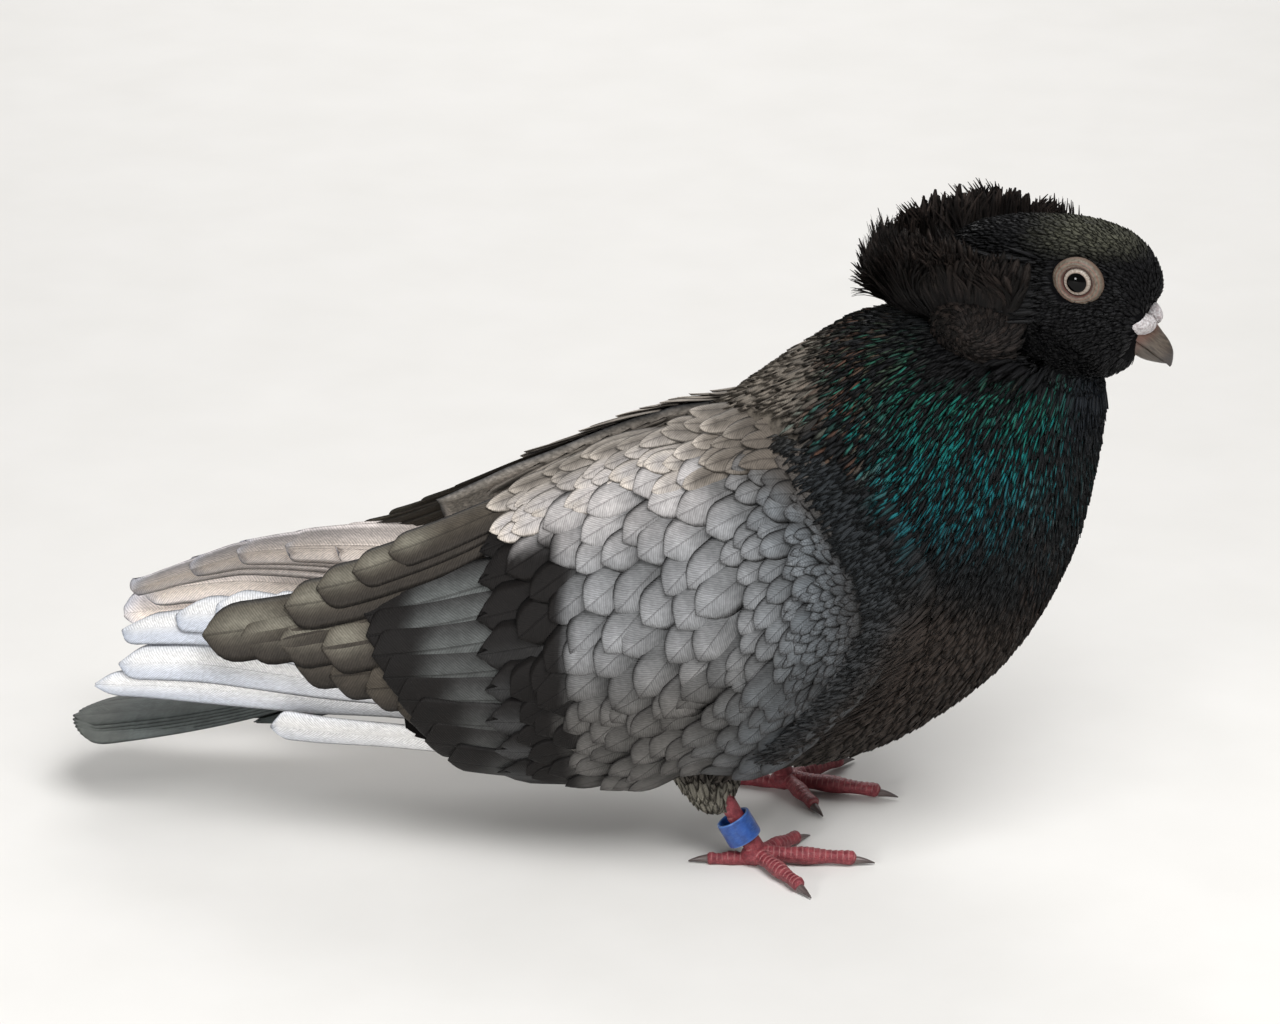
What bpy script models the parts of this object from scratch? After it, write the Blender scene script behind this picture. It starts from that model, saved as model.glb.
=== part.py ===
"""Komorn tumbler pigeon, a life-size standing bird with a shell crest.

Metres, +Z up, the bird faces +X and stands on z = 0. The tables below are in millimetres,
measured from the point on the floor between the feet, and MM turns them into metres.
"""

import math

import bpy
import numpy as np
from mathutils import Vector

# Driving sizes
MM = 0.001
GAP = 0.3 * MM
CUT_GAP = 0.36 * MM
LEFT = 1
RIGHT = -1
SIDES = {"left": LEFT, "right": RIGHT}

# Trunk and neck: back x and z, breast x and z, half width, and how far the widest level
# lies above the middle.
TRUNK = (
    (-104, 53, -100, 44, 8.5, 0.0),
    (-92, 63, -85, 35.5, 17.5, 0.0),
    (-72, 80, -58, 26, 27, 0.02),
    (-46, 96, -27, 18.5, 32.5, 0.06),
    (-20, 110, 5, 18.5, 33.5, 0.10),
    (-4, 121.7, 27, 24.5, 34, 0.10),
    (5, 129.0, 48, 38.5, 33, 0.06),
    (12, 134.0, 63.5, 55, 31, 0.0),
    (18, 138.2, 74.8, 77, 28, -0.04),
    (22.5, 140.0, 80.0, 97, 25, -0.06),
    (29, 141.4, 82.2, 112.5, 21, 0.0),
    (39, 143.0, 83.7, 125.0, 15.5, 0.0),
)
NECK_START = 7.3
NECK_END = 11.0

# Head, in its own frame before it is turned: crown x and z, jaw x and z, half width.
HEAD = (
    (39.5, 150, 43, 143, 4, 0.0),
    (41.5, 157.5, 49, 134.5, 9.2, 0.0),
    (48, 163.5, 57, 128, 12.2, 0.0),
    (58, 166.7, 66, 125.4, 13.5, 0.0),
    (68, 167.6, 74, 125.2, 13.7, 0.0),
    (78, 167.4, 81, 126.5, 13.1, 0.04),
    (87, 165.1, 86.5, 129, 11.8, 0.08),
    (93, 160.6, 89.6, 131.5, 10.0, 0.08),
    (96.1, 155.2, 91.0, 134, 8.0, 0.0),
    (96.6, 150.3, 91.4, 136, 6.0, 0.0),
    (94.6, 147.4, 91.5, 138, 4.4, 0.0),
    (94.2, 146.2, 92.3, 139.8, 2.6, 0.0),
)
HEAD_PIVOT = (57, 0, 143)
HEAD_TURN = math.radians(12)
HEAD_RAISE = math.radians(3)

# Eye: a ball sunk in the head, with a broad bare ring round it that is drawn out before and behind.
EYE_AT = (79.3, 155.4)
EYE_RADIUS = 5.0
EYE_DEPTH = 8.8
RING_HEIGHT = 6.1
RING_LENGTH = 6.9
RING_TILT = math.radians(-18)
RING_INNER = 3.7
RING_FRONT = 13.3
RING_THICK = 1.7
POCKET_GAP = 0.35

# Bill: root, axis and length in the head's frame.
BILL_ROOT = (90.3, 139.7)
BILL_DOWN = math.radians(45)
BILL_LENGTH = 12.0
# Share of the length, ridge height and half width of the upper half.
UPPER_BILL = (
    (-0.3, 4.4, 4.2),
    (0.0, 4.5, 4.1),
    (0.37, 4.25, 3.5),
    (0.6, 3.95, 2.8),
    (0.79, 3.1, 2.0),
    (0.92, 1.8, 1.1),
    (1.0, 0.6, 0.4),
)
# Share of the length, depth and half width of the lower half.
LOWER_BILL = (
    (-0.3, 5.0, 4.0),
    (0.0, 5.0, 3.9),
    (0.25, 4.8, 3.4),
    (0.49, 4.1, 2.7),
    (0.68, 2.7, 2.0),
    (0.83, 1.3, 1.2),
    (0.9, 0.6, 0.5),
)
BILL_HOOK = 0.5
MOUTH_HALF_GAP = 0.18
CERE_AT = (91.6, 3.4, 143.6)
CERE_SEMI = (4.5, 2.6, 2.6)
CERE_TIP = math.radians(-10)
NOSTRIL_SEMI = (1.9, 0.9, 0.5)
GAPE_LENGTH = 7.5
GAPE_WIDTH = 0.5

# Folded wing as an arc of an ellipse at each x: half width, centre height, half height,
# and the angles of its top and bottom edges.
WING = (
    (36.5, 36.0, 78, 34, 84, 96),
    (33.0, 37.0, 78, 38, 68, 112),
    (26.0, 38.8, 76, 44, 52, 124),
    (14.0, 41.0, 72, 50, 26, 134),
    (0.0, 42.6, 67, 52, 10, 141),
    (-15.0, 43.0, 65, 49, 9, 141),
    (-30.0, 42.4, 60, 50, 10, 139),
    (-60.0, 39.0, 53, 44, 16, 131),
    (-90.0, 35.0, 49, 34.5, 23, 124),
    (-114.0, 33.0, 44, 29.5, 24, 112),
    (-140.0, 30.0, 40, 25, 20, 102),
    (-158.0, 27.0, 37, 20, 17, 95),
    (-172.0, 24.0, 34.5, 17, 15, 89),
    (-178.0, 22.5, 33.5, 16, 15, 87),
)
# The left wing's rear end is carried a little higher, from this x backwards.
LEFT_RISE = 4.0
LEFT_RISE_FROM = -85.0
LEFT_RISE_TO = -170.0

# Where the wing's own body ends and the bodies of the secondaries and primaries begin and end.
WING_BODY_END = -45.5
SECONDARY_BODY_END = -84.0
PRIMARY_BODY_END = -93.0
WING_DEPTH = (1.6, 9.5)
SECONDARY_DEPTH = (3.2, 4.2)
PRIMARY_DEPTH = (7.6, 7.6)
WING_TOP = -0.5
SECONDARY_TOP = -1.5
SECONDARY_TILT = 0.8
PRIMARY_ACROSS = (0.34, 1.0)

# Legs
FOOT_SPREAD = 23.0
FOOT_X = {"left": 2.0, "right": 0.0}
SHANK_LEAN = math.radians(30)
SHANK_LENGTH = 24.0
SHANK_RADIUS = 2.2
SHANK_FOOT_Z = 3.6
TOE_Z = 2.3
# Toe: direction from straight ahead (outward is positive), length, root and tip radius.
TOES = (
    ("middle", -6, 25.0, 2.4, 1.7),
    ("outer", 50, 20.0, 2.2, 1.6),
    ("inner", -56, 16.0, 2.2, 1.6),
    ("hind", 174, 12.5, 1.9, 1.5),
)
CLAW_LENGTH = 4.2
CLAW_RADIUS = 1.1
CLAW_GAP = 0.45
BAND_INNER = 3.7
BAND_OUTER = 4.5
BAND_HEIGHT = 6.6
BAND_UP = 7.0
BAND_FORWARD = -1.05

# Tail: a line from root to tip that sags, and the fan of its feathers.
TAIL_ROOT = (-92, 45)
TAIL_TIP = (-180, 20.5)
TAIL_SAG = 3.4
TAIL_PAIRS = 4
TAIL_FAN = math.radians(4.5)
TAIL_PITCH = 1.25
TAIL_FEATHER_WIDTH = 14.0
TAIL_FEATHER_THICK = 1.1


# Scene and materials


def clear_scene():
    for thing in list(bpy.data.objects):
        bpy.data.objects.remove(thing, do_unlink=True)


def material(name, colour, roughness=0.7, metallic=0.0):
    made = bpy.data.materials.new(name)
    made.use_nodes = True
    shader = made.node_tree.nodes["Principled BSDF"]
    shader.inputs["Base Color"].default_value = (*colour, 1.0)
    shader.inputs["Roughness"].default_value = roughness
    shader.inputs["Metallic"].default_value = metallic
    made.diffuse_color = (*colour, 1.0)
    return made


def collection(name):
    made = bpy.data.collections.new(name)
    bpy.context.scene.collection.children.link(made)
    return made


# Curves and surfaces


def through(table, at):
    """Rows of the table joined by a smooth curve, read at row numbers that may be fractions."""
    rows = np.asarray(table, float)
    at = np.clip(np.atleast_1d(np.asarray(at, float)), 0, len(rows) - 1)
    low = np.minimum(at.astype(int), len(rows) - 2)
    slope = np.gradient(rows, axis=0)
    t = (at - low)[:, None]
    a, b = rows[low], rows[low + 1]
    da, db = slope[low], slope[low + 1]
    return (
        (2 * t**3 - 3 * t**2 + 1) * a
        + (t**3 - 2 * t**2 + t) * da
        + (-2 * t**3 + 3 * t**2) * b
        + (t**3 - t**2) * db
    )


def section_rings(table, at, around):
    """Closed cross-sections between the upper and the lower outline, in metres."""
    rows = through(table, at)
    top = np.stack([rows[:, 0], 0 * rows[:, 0], rows[:, 1]], 1) * MM
    low = np.stack([rows[:, 2], 0 * rows[:, 0], rows[:, 3]], 1) * MM
    middle = (top + low) / 2
    half = (top - low) / 2
    turn = np.linspace(0, 2 * math.pi, around, endpoint=False)
    egg = rows[:, 5][:, None]
    across = rows[:, 4][:, None] * MM * np.sin(turn) * (1 + egg * np.cos(turn))
    points = middle[:, None, :] + half[:, None, :] * np.cos(turn)[None, :, None]
    points[:, :, 1] += across
    return points


def grown(rings, amount):
    """The rings moved outward along the surface, and the first and last also along the axis."""
    if amount == 0:
        return rings
    along = np.gradient(rings, axis=0)
    around = np.roll(rings, -1, 1) - np.roll(rings, 1, 1)
    normal = np.cross(along, around)
    middle = rings.mean(1, keepdims=True)
    if (normal * (rings - middle)).sum() < 0:
        normal = -normal
    normal /= np.linalg.norm(normal, axis=2, keepdims=True)
    moved = rings + normal * amount
    for end, inner in ((0, 1), (-1, -2)):
        axis = (middle[end] - middle[inner])[0]
        moved[end] += axis / np.linalg.norm(axis) * amount
    return moved


def turned_head(points):
    """Points of the head's own frame, in metres, raised and turned towards the bird's right."""
    pivot = np.array(HEAD_PIVOT) * MM
    shift = np.asarray(points, float) - pivot
    c, s = math.cos(HEAD_RAISE), math.sin(HEAD_RAISE)
    raised = np.array([[c, 0, -s], [0, 1, 0], [s, 0, c]])
    c, s = math.cos(HEAD_TURN), math.sin(HEAD_TURN)
    turned = np.array([[c, s, 0], [-s, c, 0], [0, 0, 1]])
    return shift @ raised.T @ turned.T + pivot


def wing_surface(x, across, side):
    """A point on the folded wing: x in mm, across from 0 at the upper edge to 1 at the lower edge."""
    x = np.asarray(x, float)
    stations = np.array(WING)
    order = np.interp(-x, -stations[:, 0], np.arange(len(stations)))
    rows = through(stations, order.ravel()).reshape(*order.shape, -1)
    angle = np.radians(rows[..., 4] + (rows[..., 5] - rows[..., 4]) * np.asarray(across, float))
    y = rows[..., 1] * np.sin(angle)
    z = rows[..., 2] + rows[..., 3] * np.cos(angle)
    if side == LEFT:
        share = np.clip((x - LEFT_RISE_FROM) / (LEFT_RISE_TO - LEFT_RISE_FROM), 0, 1)
        z = z + LEFT_RISE * share * share * (3 - 2 * share)
    return np.stack([x + 0 * y, side * y, z], -1) * MM


def wing_slopes(x, across, side):
    """Change of the wing surface per mm of x and per unit across, and the outward direction."""
    step = 0.5
    along = (wing_surface(x + step, across, side) - wing_surface(x - step, across, side)) / (2 * step)
    over = (wing_surface(x, across + 0.01, side) - wing_surface(x, across - 0.01, side)) / 0.02
    normal = np.cross(along, over) * side
    normal = normal / np.linalg.norm(normal, axis=-1, keepdims=True)
    return along, over, normal


# Meshes


def signed_volume(points, triangles):
    a, b, c = (points[triangles[:, i]] for i in range(3))
    return float(np.einsum("ij,ij->i", a, np.cross(b, c)).sum()) / 6


def solid(name, points, faces, where):
    """A mesh object with its faces turned outward."""
    points = np.asarray(points, float)
    fans = [(f[0], f[i], f[i + 1]) for f in faces for i in range(1, len(f) - 1)]
    if signed_volume(points, np.array(fans)) < 0:
        faces = [tuple(reversed(f)) for f in faces]
    mesh = bpy.data.meshes.new(name)
    mesh.from_pydata([tuple(p) for p in points], [], [tuple(int(i) for i in f) for f in faces])
    mesh.validate()
    made = bpy.data.objects.new(name, mesh)
    where.objects.link(made)
    return made


def loft(name, rings, where):
    """A closed solid over rings of equal count, with a flat fan at each end."""
    rings = np.asarray(rings, float)
    count, around = rings.shape[:2]
    points = list(rings.reshape(-1, 3))
    faces = []
    for i in range(count - 1):
        for j in range(around):
            k = (j + 1) % around
            faces.append((i * around + j, i * around + k, (i + 1) * around + k))
            faces.append((i * around + j, (i + 1) * around + k, (i + 1) * around + j))
    for ring in (0, count - 1):
        centre = len(points)
        points.append(rings[ring].mean(0))
        for j in range(around):
            a, b = ring * around + j, ring * around + (j + 1) % around
            faces.append((centre, a, b) if ring else (centre, b, a))
    return solid(name, points, faces, where)


def plate(name, upper, normals, thick, where):
    """A closed sheet under a grid of points. Both faces are split into triangles alike."""
    upper = np.asarray(upper, float)
    rows, columns = upper.shape[:2]
    lower = upper - normals * thick
    points = np.concatenate([upper.reshape(-1, 3), lower.reshape(-1, 3)])
    below = rows * columns
    faces = []
    for i in range(rows - 1):
        for j in range(columns - 1):
            a, b = i * columns + j, i * columns + j + 1
            c, d = a + columns, b + columns
            for first, second, third in ((a, b, d), (a, d, c)):
                faces.append((first, second, third))
                faces.append((below + third, below + second, below + first))
    border = [j for j in range(columns)]
    border += [i * columns + columns - 1 for i in range(1, rows)]
    border += [(rows - 1) * columns + j for j in range(columns - 2, -1, -1)]
    border += [i * columns for i in range(rows - 2, 0, -1)]
    for a, b in zip(border, border[1:] + border[:1]):
        faces.append((b, a, below + a))
        faces.append((b, below + a, below + b))
    return solid(name, points, faces, where)


def band_of(name, loops, where):
    """A closed ring of sections, each joined to the next and the last to the first."""
    loops = np.asarray(loops, float)
    around, n = loops.shape[:2]
    faces = []
    for i in range(around):
        k = (i + 1) % around
        for j in range(n):
            m = (j + 1) % n
            faces.append((i * n + j, i * n + m, k * n + m))
            faces.append((i * n + j, k * n + m, k * n + j))
    return solid(name, loops.reshape(-1, 3), faces, where)


def egg_points(semi, around, rows):
    """Rings of a stretched ball round its own x axis."""
    tilt = np.linspace(0, math.pi, rows + 1)[1:-1]
    tilt = np.concatenate([[tilt[0] * 0.3], tilt, [math.pi - tilt[0] * 0.3]])
    turn = np.linspace(0, 2 * math.pi, around, endpoint=False)
    a, b = np.meshgrid(tilt, turn, indexing="ij")
    return np.stack([np.cos(a), np.sin(a) * np.cos(b), np.sin(a) * np.sin(b)], -1) * np.array(semi)


COVERT_STEPS = np.array([0.0, 0.72, 1.0])
FEATHER_STEPS = np.array([0.0, 0.45, 0.8, 1.0])
FLIGHT_STEPS = np.array([0.0, 0.5, 0.86, 1.0])


def feather_outline(t, root_share, tip_start):
    """Half width of a vane along its length, as a share of its widest."""
    rise = np.clip(t / 0.4, 0, 1)
    body = root_share + (1 - root_share) * rise * rise * (3 - 2 * rise)
    past = np.clip((t - tip_start) / (1 - tip_start), 0, 1)
    return body * np.sqrt(1 - 0.93 * past**2)


def vane(name, centres, normals, size, where, steps, root_share, tip_start):
    """A flat feather along a line of centres. Its size is width, thickness and the lift of one edge."""
    width, thick, tilt = size
    centres = np.asarray(centres, float)
    heading = np.gradient(centres, axis=0)
    across = np.cross(normals, heading)
    across /= np.linalg.norm(across, axis=1, keepdims=True)
    half = feather_outline(steps, root_share, tip_start) * width / 2
    edge = across * half[:, None] + normals * tilt / 2
    grid = np.stack([centres - edge, centres + edge], 1)
    depth = (thick * (1 - 0.3 * steps))[:, None, None]
    return plate(name, grid, np.repeat(normals[:, None], 2, 1), depth, where)


# Joining and cutting


def apply_modifiers(thing):
    bpy.context.view_layer.update()
    graph = bpy.context.evaluated_depsgraph_get()
    mesh = bpy.data.meshes.new_from_object(thing.evaluated_get(graph))
    thing.modifiers.clear()
    old = thing.data
    thing.data = mesh
    bpy.data.meshes.remove(old)


def mesh_arrays(mesh):
    points = np.empty(len(mesh.vertices) * 3)
    mesh.vertices.foreach_get("co", points)
    mesh.calc_loop_triangles()
    triangles = np.empty(len(mesh.loop_triangles) * 3, np.int32)
    mesh.loop_triangles.foreach_get("vertices", triangles)
    return points.reshape(-1, 3), triangles.reshape(-1, 3)


def keep_largest(thing):
    """Drops every closed surface of the object but its largest."""
    mesh = thing.data
    points, triangles = mesh_arrays(mesh)
    label = np.arange(len(points))
    while True:
        before = label.copy()
        lowest = label[triangles].min(1)
        for corner in range(3):
            np.minimum.at(label, triangles[:, corner], lowest)
        if (label == before).all():
            break
    keys = np.unique(label[triangles[:, 0]])
    volumes = [signed_volume(points, triangles[label[triangles[:, 0]] == key]) for key in keys]
    best = keys[int(np.argmax(volumes))]
    kept = [tuple(p.vertices) for p in mesh.polygons if label[p.vertices[0]] == best]
    if len(kept) == len(mesh.polygons):
        return
    used = sorted({i for f in kept for i in f})
    index = {old: new for new, old in enumerate(used)}
    made = bpy.data.meshes.new(thing.name)
    made.from_pydata([tuple(points[i]) for i in used], [], [tuple(index[i] for i in f) for f in kept])
    thing.data = made
    bpy.data.meshes.remove(mesh)


def remove_all(things):
    for thing in things:
        mesh = thing.data
        bpy.data.objects.remove(thing, do_unlink=True)
        bpy.data.meshes.remove(mesh)


def join(thing, others, solver="MANIFOLD"):
    """One union of the mesh with several closed pieces, which are then removed."""
    held = collection(thing.name + "_pieces")
    for other in others:
        for home in list(other.users_collection):
            home.objects.unlink(other)
        held.objects.link(other)
    union = thing.modifiers.new("join", "BOOLEAN")
    union.operation = "UNION"
    union.solver = solver
    union.operand_type = "COLLECTION"
    union.collection = held
    apply_modifiers(thing)
    remove_all(others)
    bpy.data.collections.remove(held)
    keep_largest(thing)


def cut(thing, others, solver="MANIFOLD"):
    """Takes each of the others out of the mesh and removes them."""
    for number, other in enumerate(others):
        difference = thing.modifiers.new(f"cut{number}", "BOOLEAN")
        difference.operation = "DIFFERENCE"
        difference.solver = solver
        difference.object = other
    apply_modifiers(thing)
    remove_all(others)
    keep_largest(thing)


def copy_of(thing, name, where):
    made = bpy.data.objects.new(name, thing.data.copy())
    where.objects.link(made)
    return made


def finish(thing, look):
    thing.data.materials.clear()
    thing.data.materials.append(look)
    thing.data.shade_smooth()
    thing.data.set_sharp_from_angle(angle=math.radians(35))


# Trunk, neck and head

TRUNK_AROUND = 16
TORSO_STATIONS = 12
NECK_STATIONS = 7
HEAD_AROUND = 18
HEAD_STATIONS = 12


def torso_rings(grow=0.0):
    return grown(section_rings(TRUNK, np.linspace(0, NECK_START, TORSO_STATIONS), TRUNK_AROUND), grow)


def neck_rings(grow=0.0):
    """The neck starts one gap above the torso's last section."""
    rings = section_rings(TRUNK, np.linspace(NECK_START, NECK_END, NECK_STATIONS), TRUNK_AROUND)
    first = rings[0]
    quarter = TRUNK_AROUND // 4
    normal = np.cross(first[quarter] - first[0], first[2 * quarter] - first[0])
    normal /= np.linalg.norm(normal)
    if normal @ (rings[1].mean(0) - first.mean(0)) < 0:
        normal = -normal
    rings[0] = first + normal * GAP
    return grown(rings, grow)


def head_rings(grow=0.0):
    rings = section_rings(HEAD, np.linspace(0, len(HEAD) - 1, HEAD_STATIONS), HEAD_AROUND)
    return in_head(grown(rings, grow))


def in_head(points):
    """Any array of places in the head's frame, in metres, turned with the head."""
    points = np.asarray(points, float)
    return turned_head(points.reshape(-1, 3)).reshape(points.shape)


def room(rings_of, where):
    """The closed form of a neighbour, grown by the gap."""
    return loft("room", rings_of(CUT_GAP), where)


def build_trunk(where, looks):
    finish(loft("torso", torso_rings(), where), looks["belly"])
    neck = loft("neck", neck_rings(), where)
    cut(neck, [room(head_rings, where)])
    finish(neck, looks["neck"])


# Eyes


def eye_ball(name, side, where, grow=0.0, around=10, rows=6):
    """A round eye whose poles lie on the head's sideways axis."""
    balls = egg_points([EYE_RADIUS * MM + grow] * 3, around, rows)
    centre = np.array([EYE_AT[0], side * EYE_DEPTH, EYE_AT[1]]) * MM
    placed = np.stack([balls[..., 1], balls[..., 0] * side, balls[..., 2]], -1) + centre
    return loft(name, in_head(placed), where)


def ring_reach(turn, wider=0.0):
    """How far the eye's bare ring reaches in each direction."""
    lean = turn - RING_TILT
    drawn_out = np.abs(np.cos(lean)) ** 4
    return RING_HEIGHT + (RING_LENGTH - RING_HEIGHT) * drawn_out + wider


def eye_pocket(side, where, around=14):
    """The room that the bare ring takes out of the head."""
    turn = np.linspace(0, 2 * math.pi, around, endpoint=False)
    reach = ring_reach(turn, POCKET_GAP)
    rings = []
    for depth in (RING_FRONT - RING_THICK - POCKET_GAP, RING_FRONT + 12):
        level = np.full_like(turn, side * depth)
        x, z = EYE_AT[0] + reach * np.cos(turn), EYE_AT[1] + reach * np.sin(turn)
        rings.append(np.stack([x, level, z], 1))
    return loft("pocket", in_head(np.array(rings) * MM), where)


def eye_ring(name, side, where, around=14):
    """The bare ring round the eye, highest in the middle of its breadth."""
    loops = []
    for turn in np.linspace(0, 2 * math.pi, around, endpoint=False):
        outer = float(ring_reach(np.array(turn)))
        profile = (
            (RING_INNER, RING_FRONT - 0.5),
            ((RING_INNER + outer) / 2, RING_FRONT),
            (outer, RING_FRONT - 0.8),
            (outer, RING_FRONT - RING_THICK),
        )
        c, s = math.cos(turn), math.sin(turn)
        loops.append([(EYE_AT[0] + r * c, side * d, EYE_AT[1] + r * s) for r, d in profile])
    return band_of(name, in_head(np.array(loops) * MM), where)


def build_eyes(head, where, looks):
    for side_name, side in SIDES.items():
        cut(head, [eye_pocket(side, where), eye_ball("socket", side, where, CUT_GAP)])
        finish(eye_ball(f"eye_{side_name}", side, where), looks["eye"])
        ring = eye_ring(f"eye_ring_{side_name}", side, where)
        cut(ring, [eye_ball("ball_room", side, where, CUT_GAP)])
        finish(ring, looks["bare_skin"])


# Bill


def bill_place(share, over, sideways=0.0):
    """A place on the bill in the head's frame, in mm: share of its length, height over the mouth."""
    c, s = math.cos(BILL_DOWN), math.sin(BILL_DOWN)
    x = BILL_ROOT[0] + c * share * BILL_LENGTH + s * over
    z = BILL_ROOT[1] - s * share * BILL_LENGTH + c * over
    return np.array([x, sideways, z])


def bill_half(name, table, sign, start, where, grow=0.0, around=7):
    """Half a bill, arched away from the mouth line and flat along it."""
    rings = []
    for share, height, half in table:
        drop = BILL_HOOK * max(0.0, (share - 0.75) / 0.25) ** 2 if sign > 0 else 0.0
        ring = []
        for turn in np.linspace(0, math.pi, around):
            arch = sign * (start + (height - start) * math.sin(turn) ** 0.8) - drop
            ring.append(bill_place(share, arch, half * math.cos(turn)))
        ring.append(bill_place(share, sign * start - drop, 0.0))
        rings.append(ring)
    return loft(name, in_head(grown(np.array(rings) * MM, grow)), where)


def tipped(points, angle):
    """Points turned round the sideways axis, front end up."""
    c, s = math.cos(angle), math.sin(angle)
    x, z = points[..., 0], points[..., 2]
    return np.stack([x * c - z * s, points[..., 1], x * s + z * c], -1)


def cere_lobe(name, side, where):
    """One of the two rounded lobes over the nostrils."""
    lobe = egg_points(np.array(CERE_SEMI), 12, 8)
    place = tipped(lobe, CERE_TIP) + np.array([CERE_AT[0], side * CERE_AT[1], CERE_AT[2]])
    return loft(name, in_head(place * MM), where)


def nostril(side, where):
    """The slit under the edge of a lobe."""
    slit = egg_points(np.array(NOSTRIL_SEMI), 8, 6)
    place = tipped(slit, -BILL_DOWN) + bill_place(0.35, 3.0, side * 3.2)
    return loft("nostril", in_head(place * MM), where)


def gape_slit(side, where):
    """The line of the mouth where it runs back from the bill into the face."""
    turn = np.linspace(0, 2 * math.pi, 4, endpoint=False)
    rings = []
    for share, depth in ((-GAPE_LENGTH / BILL_LENGTH, 0.3), (-0.3, 0.9), (0.25, 1.0)):
        half = GAPE_WIDTH / 2
        y = side * (8.6 if share < -0.5 else 6.6 if share < 0 else 3.0)
        ring = [bill_place(share, half * math.sin(a), y + 3.5 * depth * math.cos(a)) for a in turn]
        rings.append(ring)
    return loft("gape", in_head(np.array(rings) * MM), where)


def build_bill(head, where, looks):
    cut(head, [gape_slit(side, where) for side in SIDES.values()])
    for name, table, sign in (("bill_upper", UPPER_BILL, 1), ("bill_lower", LOWER_BILL, -1)):
        half = bill_half(name, table, sign, MOUTH_HALF_GAP, where)
        cut(half, [room(head_rings, where)])
        if sign > 0:
            cut(half, [nostril(side, where) for side in SIDES.values()])
        finish(half, looks["horn"])
    cere = cere_lobe("cere", LEFT, where)
    join(cere, [cere_lobe("right_lobe", RIGHT, where)])
    cut(cere, [room(head_rings, where), bill_half("room", UPPER_BILL, 1, MOUTH_HALF_GAP, where, CUT_GAP)])
    finish(cere, looks["cere"])


# Crest: a shell of feathers from ear to ear round the back of the head

CREST_REACH = math.radians(112)
CREST_SPLIT = math.radians(38)
CREST_HALF_GAP = 0.011
CREST_CENTRE = (53.0, 0.0)
CREST_CORE = 0.5
CREST_CORE_THICK = 3.0
# Rows of crest feathers from the inside out: count, width, how far the row stands back and up,
# share of the arc.
CREST_ROWS = ((6, 15.0, 1.0, 0.6), (14, 12.0, 0.0, 0.97))
CREST_FEATHER_THICK = 1.0
CREST_TILT = 1.6


def crest_line(turn, row, t):
    """A crest feather in the head's frame, in mm, t from root to tip. A turn of 0 is straight back."""
    c, s = math.cos(turn), math.sin(turn)
    out = abs(turn) / CREST_REACH
    root = np.array([53.0 - 12.0 * c, 12.0 * s, 143.0 - 3.0 * out + 6.0 * row * (1 - out)])
    forward = 10.0 * out**3 * (1.0 if turn > 0 else 0.25)
    rim = 160.5 + 10.0 * math.sin(min(1.0, out * 1.12) * math.pi / 2) ** 1.2
    rim -= 9.0 * max(0.0, out - 0.72) / 0.28
    tip = np.array([54.5 - (28.5 - 5.0 * row) * c + forward, 20.5 * s, rim + 1.5 * row])
    bend = (root + tip) / 2 + np.array([-14.0 * c, 3.5 * s, -4.0 - 9.5 * max(0.0, c) ** 2])
    t = np.asarray(t, float)[:, None]
    return (1 - t) ** 2 * root + 2 * t * (1 - t) * bend + t**2 * tip


def crest_normals(line):
    """Directions away from the crest's upright axis, square to the feather."""
    outward = line - np.array([CREST_CENTRE[0] + 2.0, 0, 0])
    outward[:, 2] = 0
    heading = np.gradient(line, axis=0)
    heading /= np.linalg.norm(heading, axis=1, keepdims=True)
    outward -= heading * np.einsum("ij,ij->i", outward, heading)[:, None]
    return outward / np.linalg.norm(outward, axis=1, keepdims=True)


def crest_shell(name, reach, thick, where, around=13):
    """The core of the crest, as a bent shell from its roots to a share of the feathers' length."""
    steps = np.linspace(0, reach, 3)
    upper, normals = [], []
    for turn in np.linspace(-CREST_REACH, CREST_REACH, around):
        line = crest_line(turn, 0, steps)
        outward = crest_normals(line)
        upper.append(line + outward * thick * 0.3)
        normals.append(outward)
    upper = in_head(np.array(upper) * MM)
    base = in_head(np.zeros((1, 3)))
    normals = in_head(np.array(normals)) - base
    return plate(name, upper, normals, thick * MM, where)


def crest_wedge(low, high, where):
    """An upright wedge round the crest's axis between two turns, in the head's frame."""
    reach = 70.0
    turns = np.linspace(low, high, 7)
    corners = [(CREST_CENTRE[0], 0.0)]
    corners += [(CREST_CENTRE[0] - reach * math.cos(a), reach * math.sin(a)) for a in turns]
    rings = np.array([[(x, y, z) for x, y in corners] for z in (90.0, 210.0)]) * MM
    return loft("wedge", in_head(rings), where)


def crest_cutters(low, high, where):
    """Wedges that leave only the part of the crest between two turns."""
    turns = np.linspace(high - CREST_HALF_GAP, low + CREST_HALF_GAP + 2 * math.pi, 4)
    return [crest_wedge(a, b, where) for a, b in zip(turns[:-1], turns[1:])]


def part_crest(whole, where, looks):
    """Splits the crest at upright planes into its back and its two sides."""
    parts = {
        "crest_back": (-CREST_SPLIT, CREST_SPLIT),
        "crest_left": (CREST_SPLIT, math.pi * 0.9),
        "crest_right": (-math.pi * 0.9, -CREST_SPLIT),
    }
    for name, (low, high) in parts.items():
        piece = copy_of(whole, name, where)
        cut(piece, crest_cutters(low, high, where))
        finish(piece, looks["head"])
    remove_all([whole])


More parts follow.
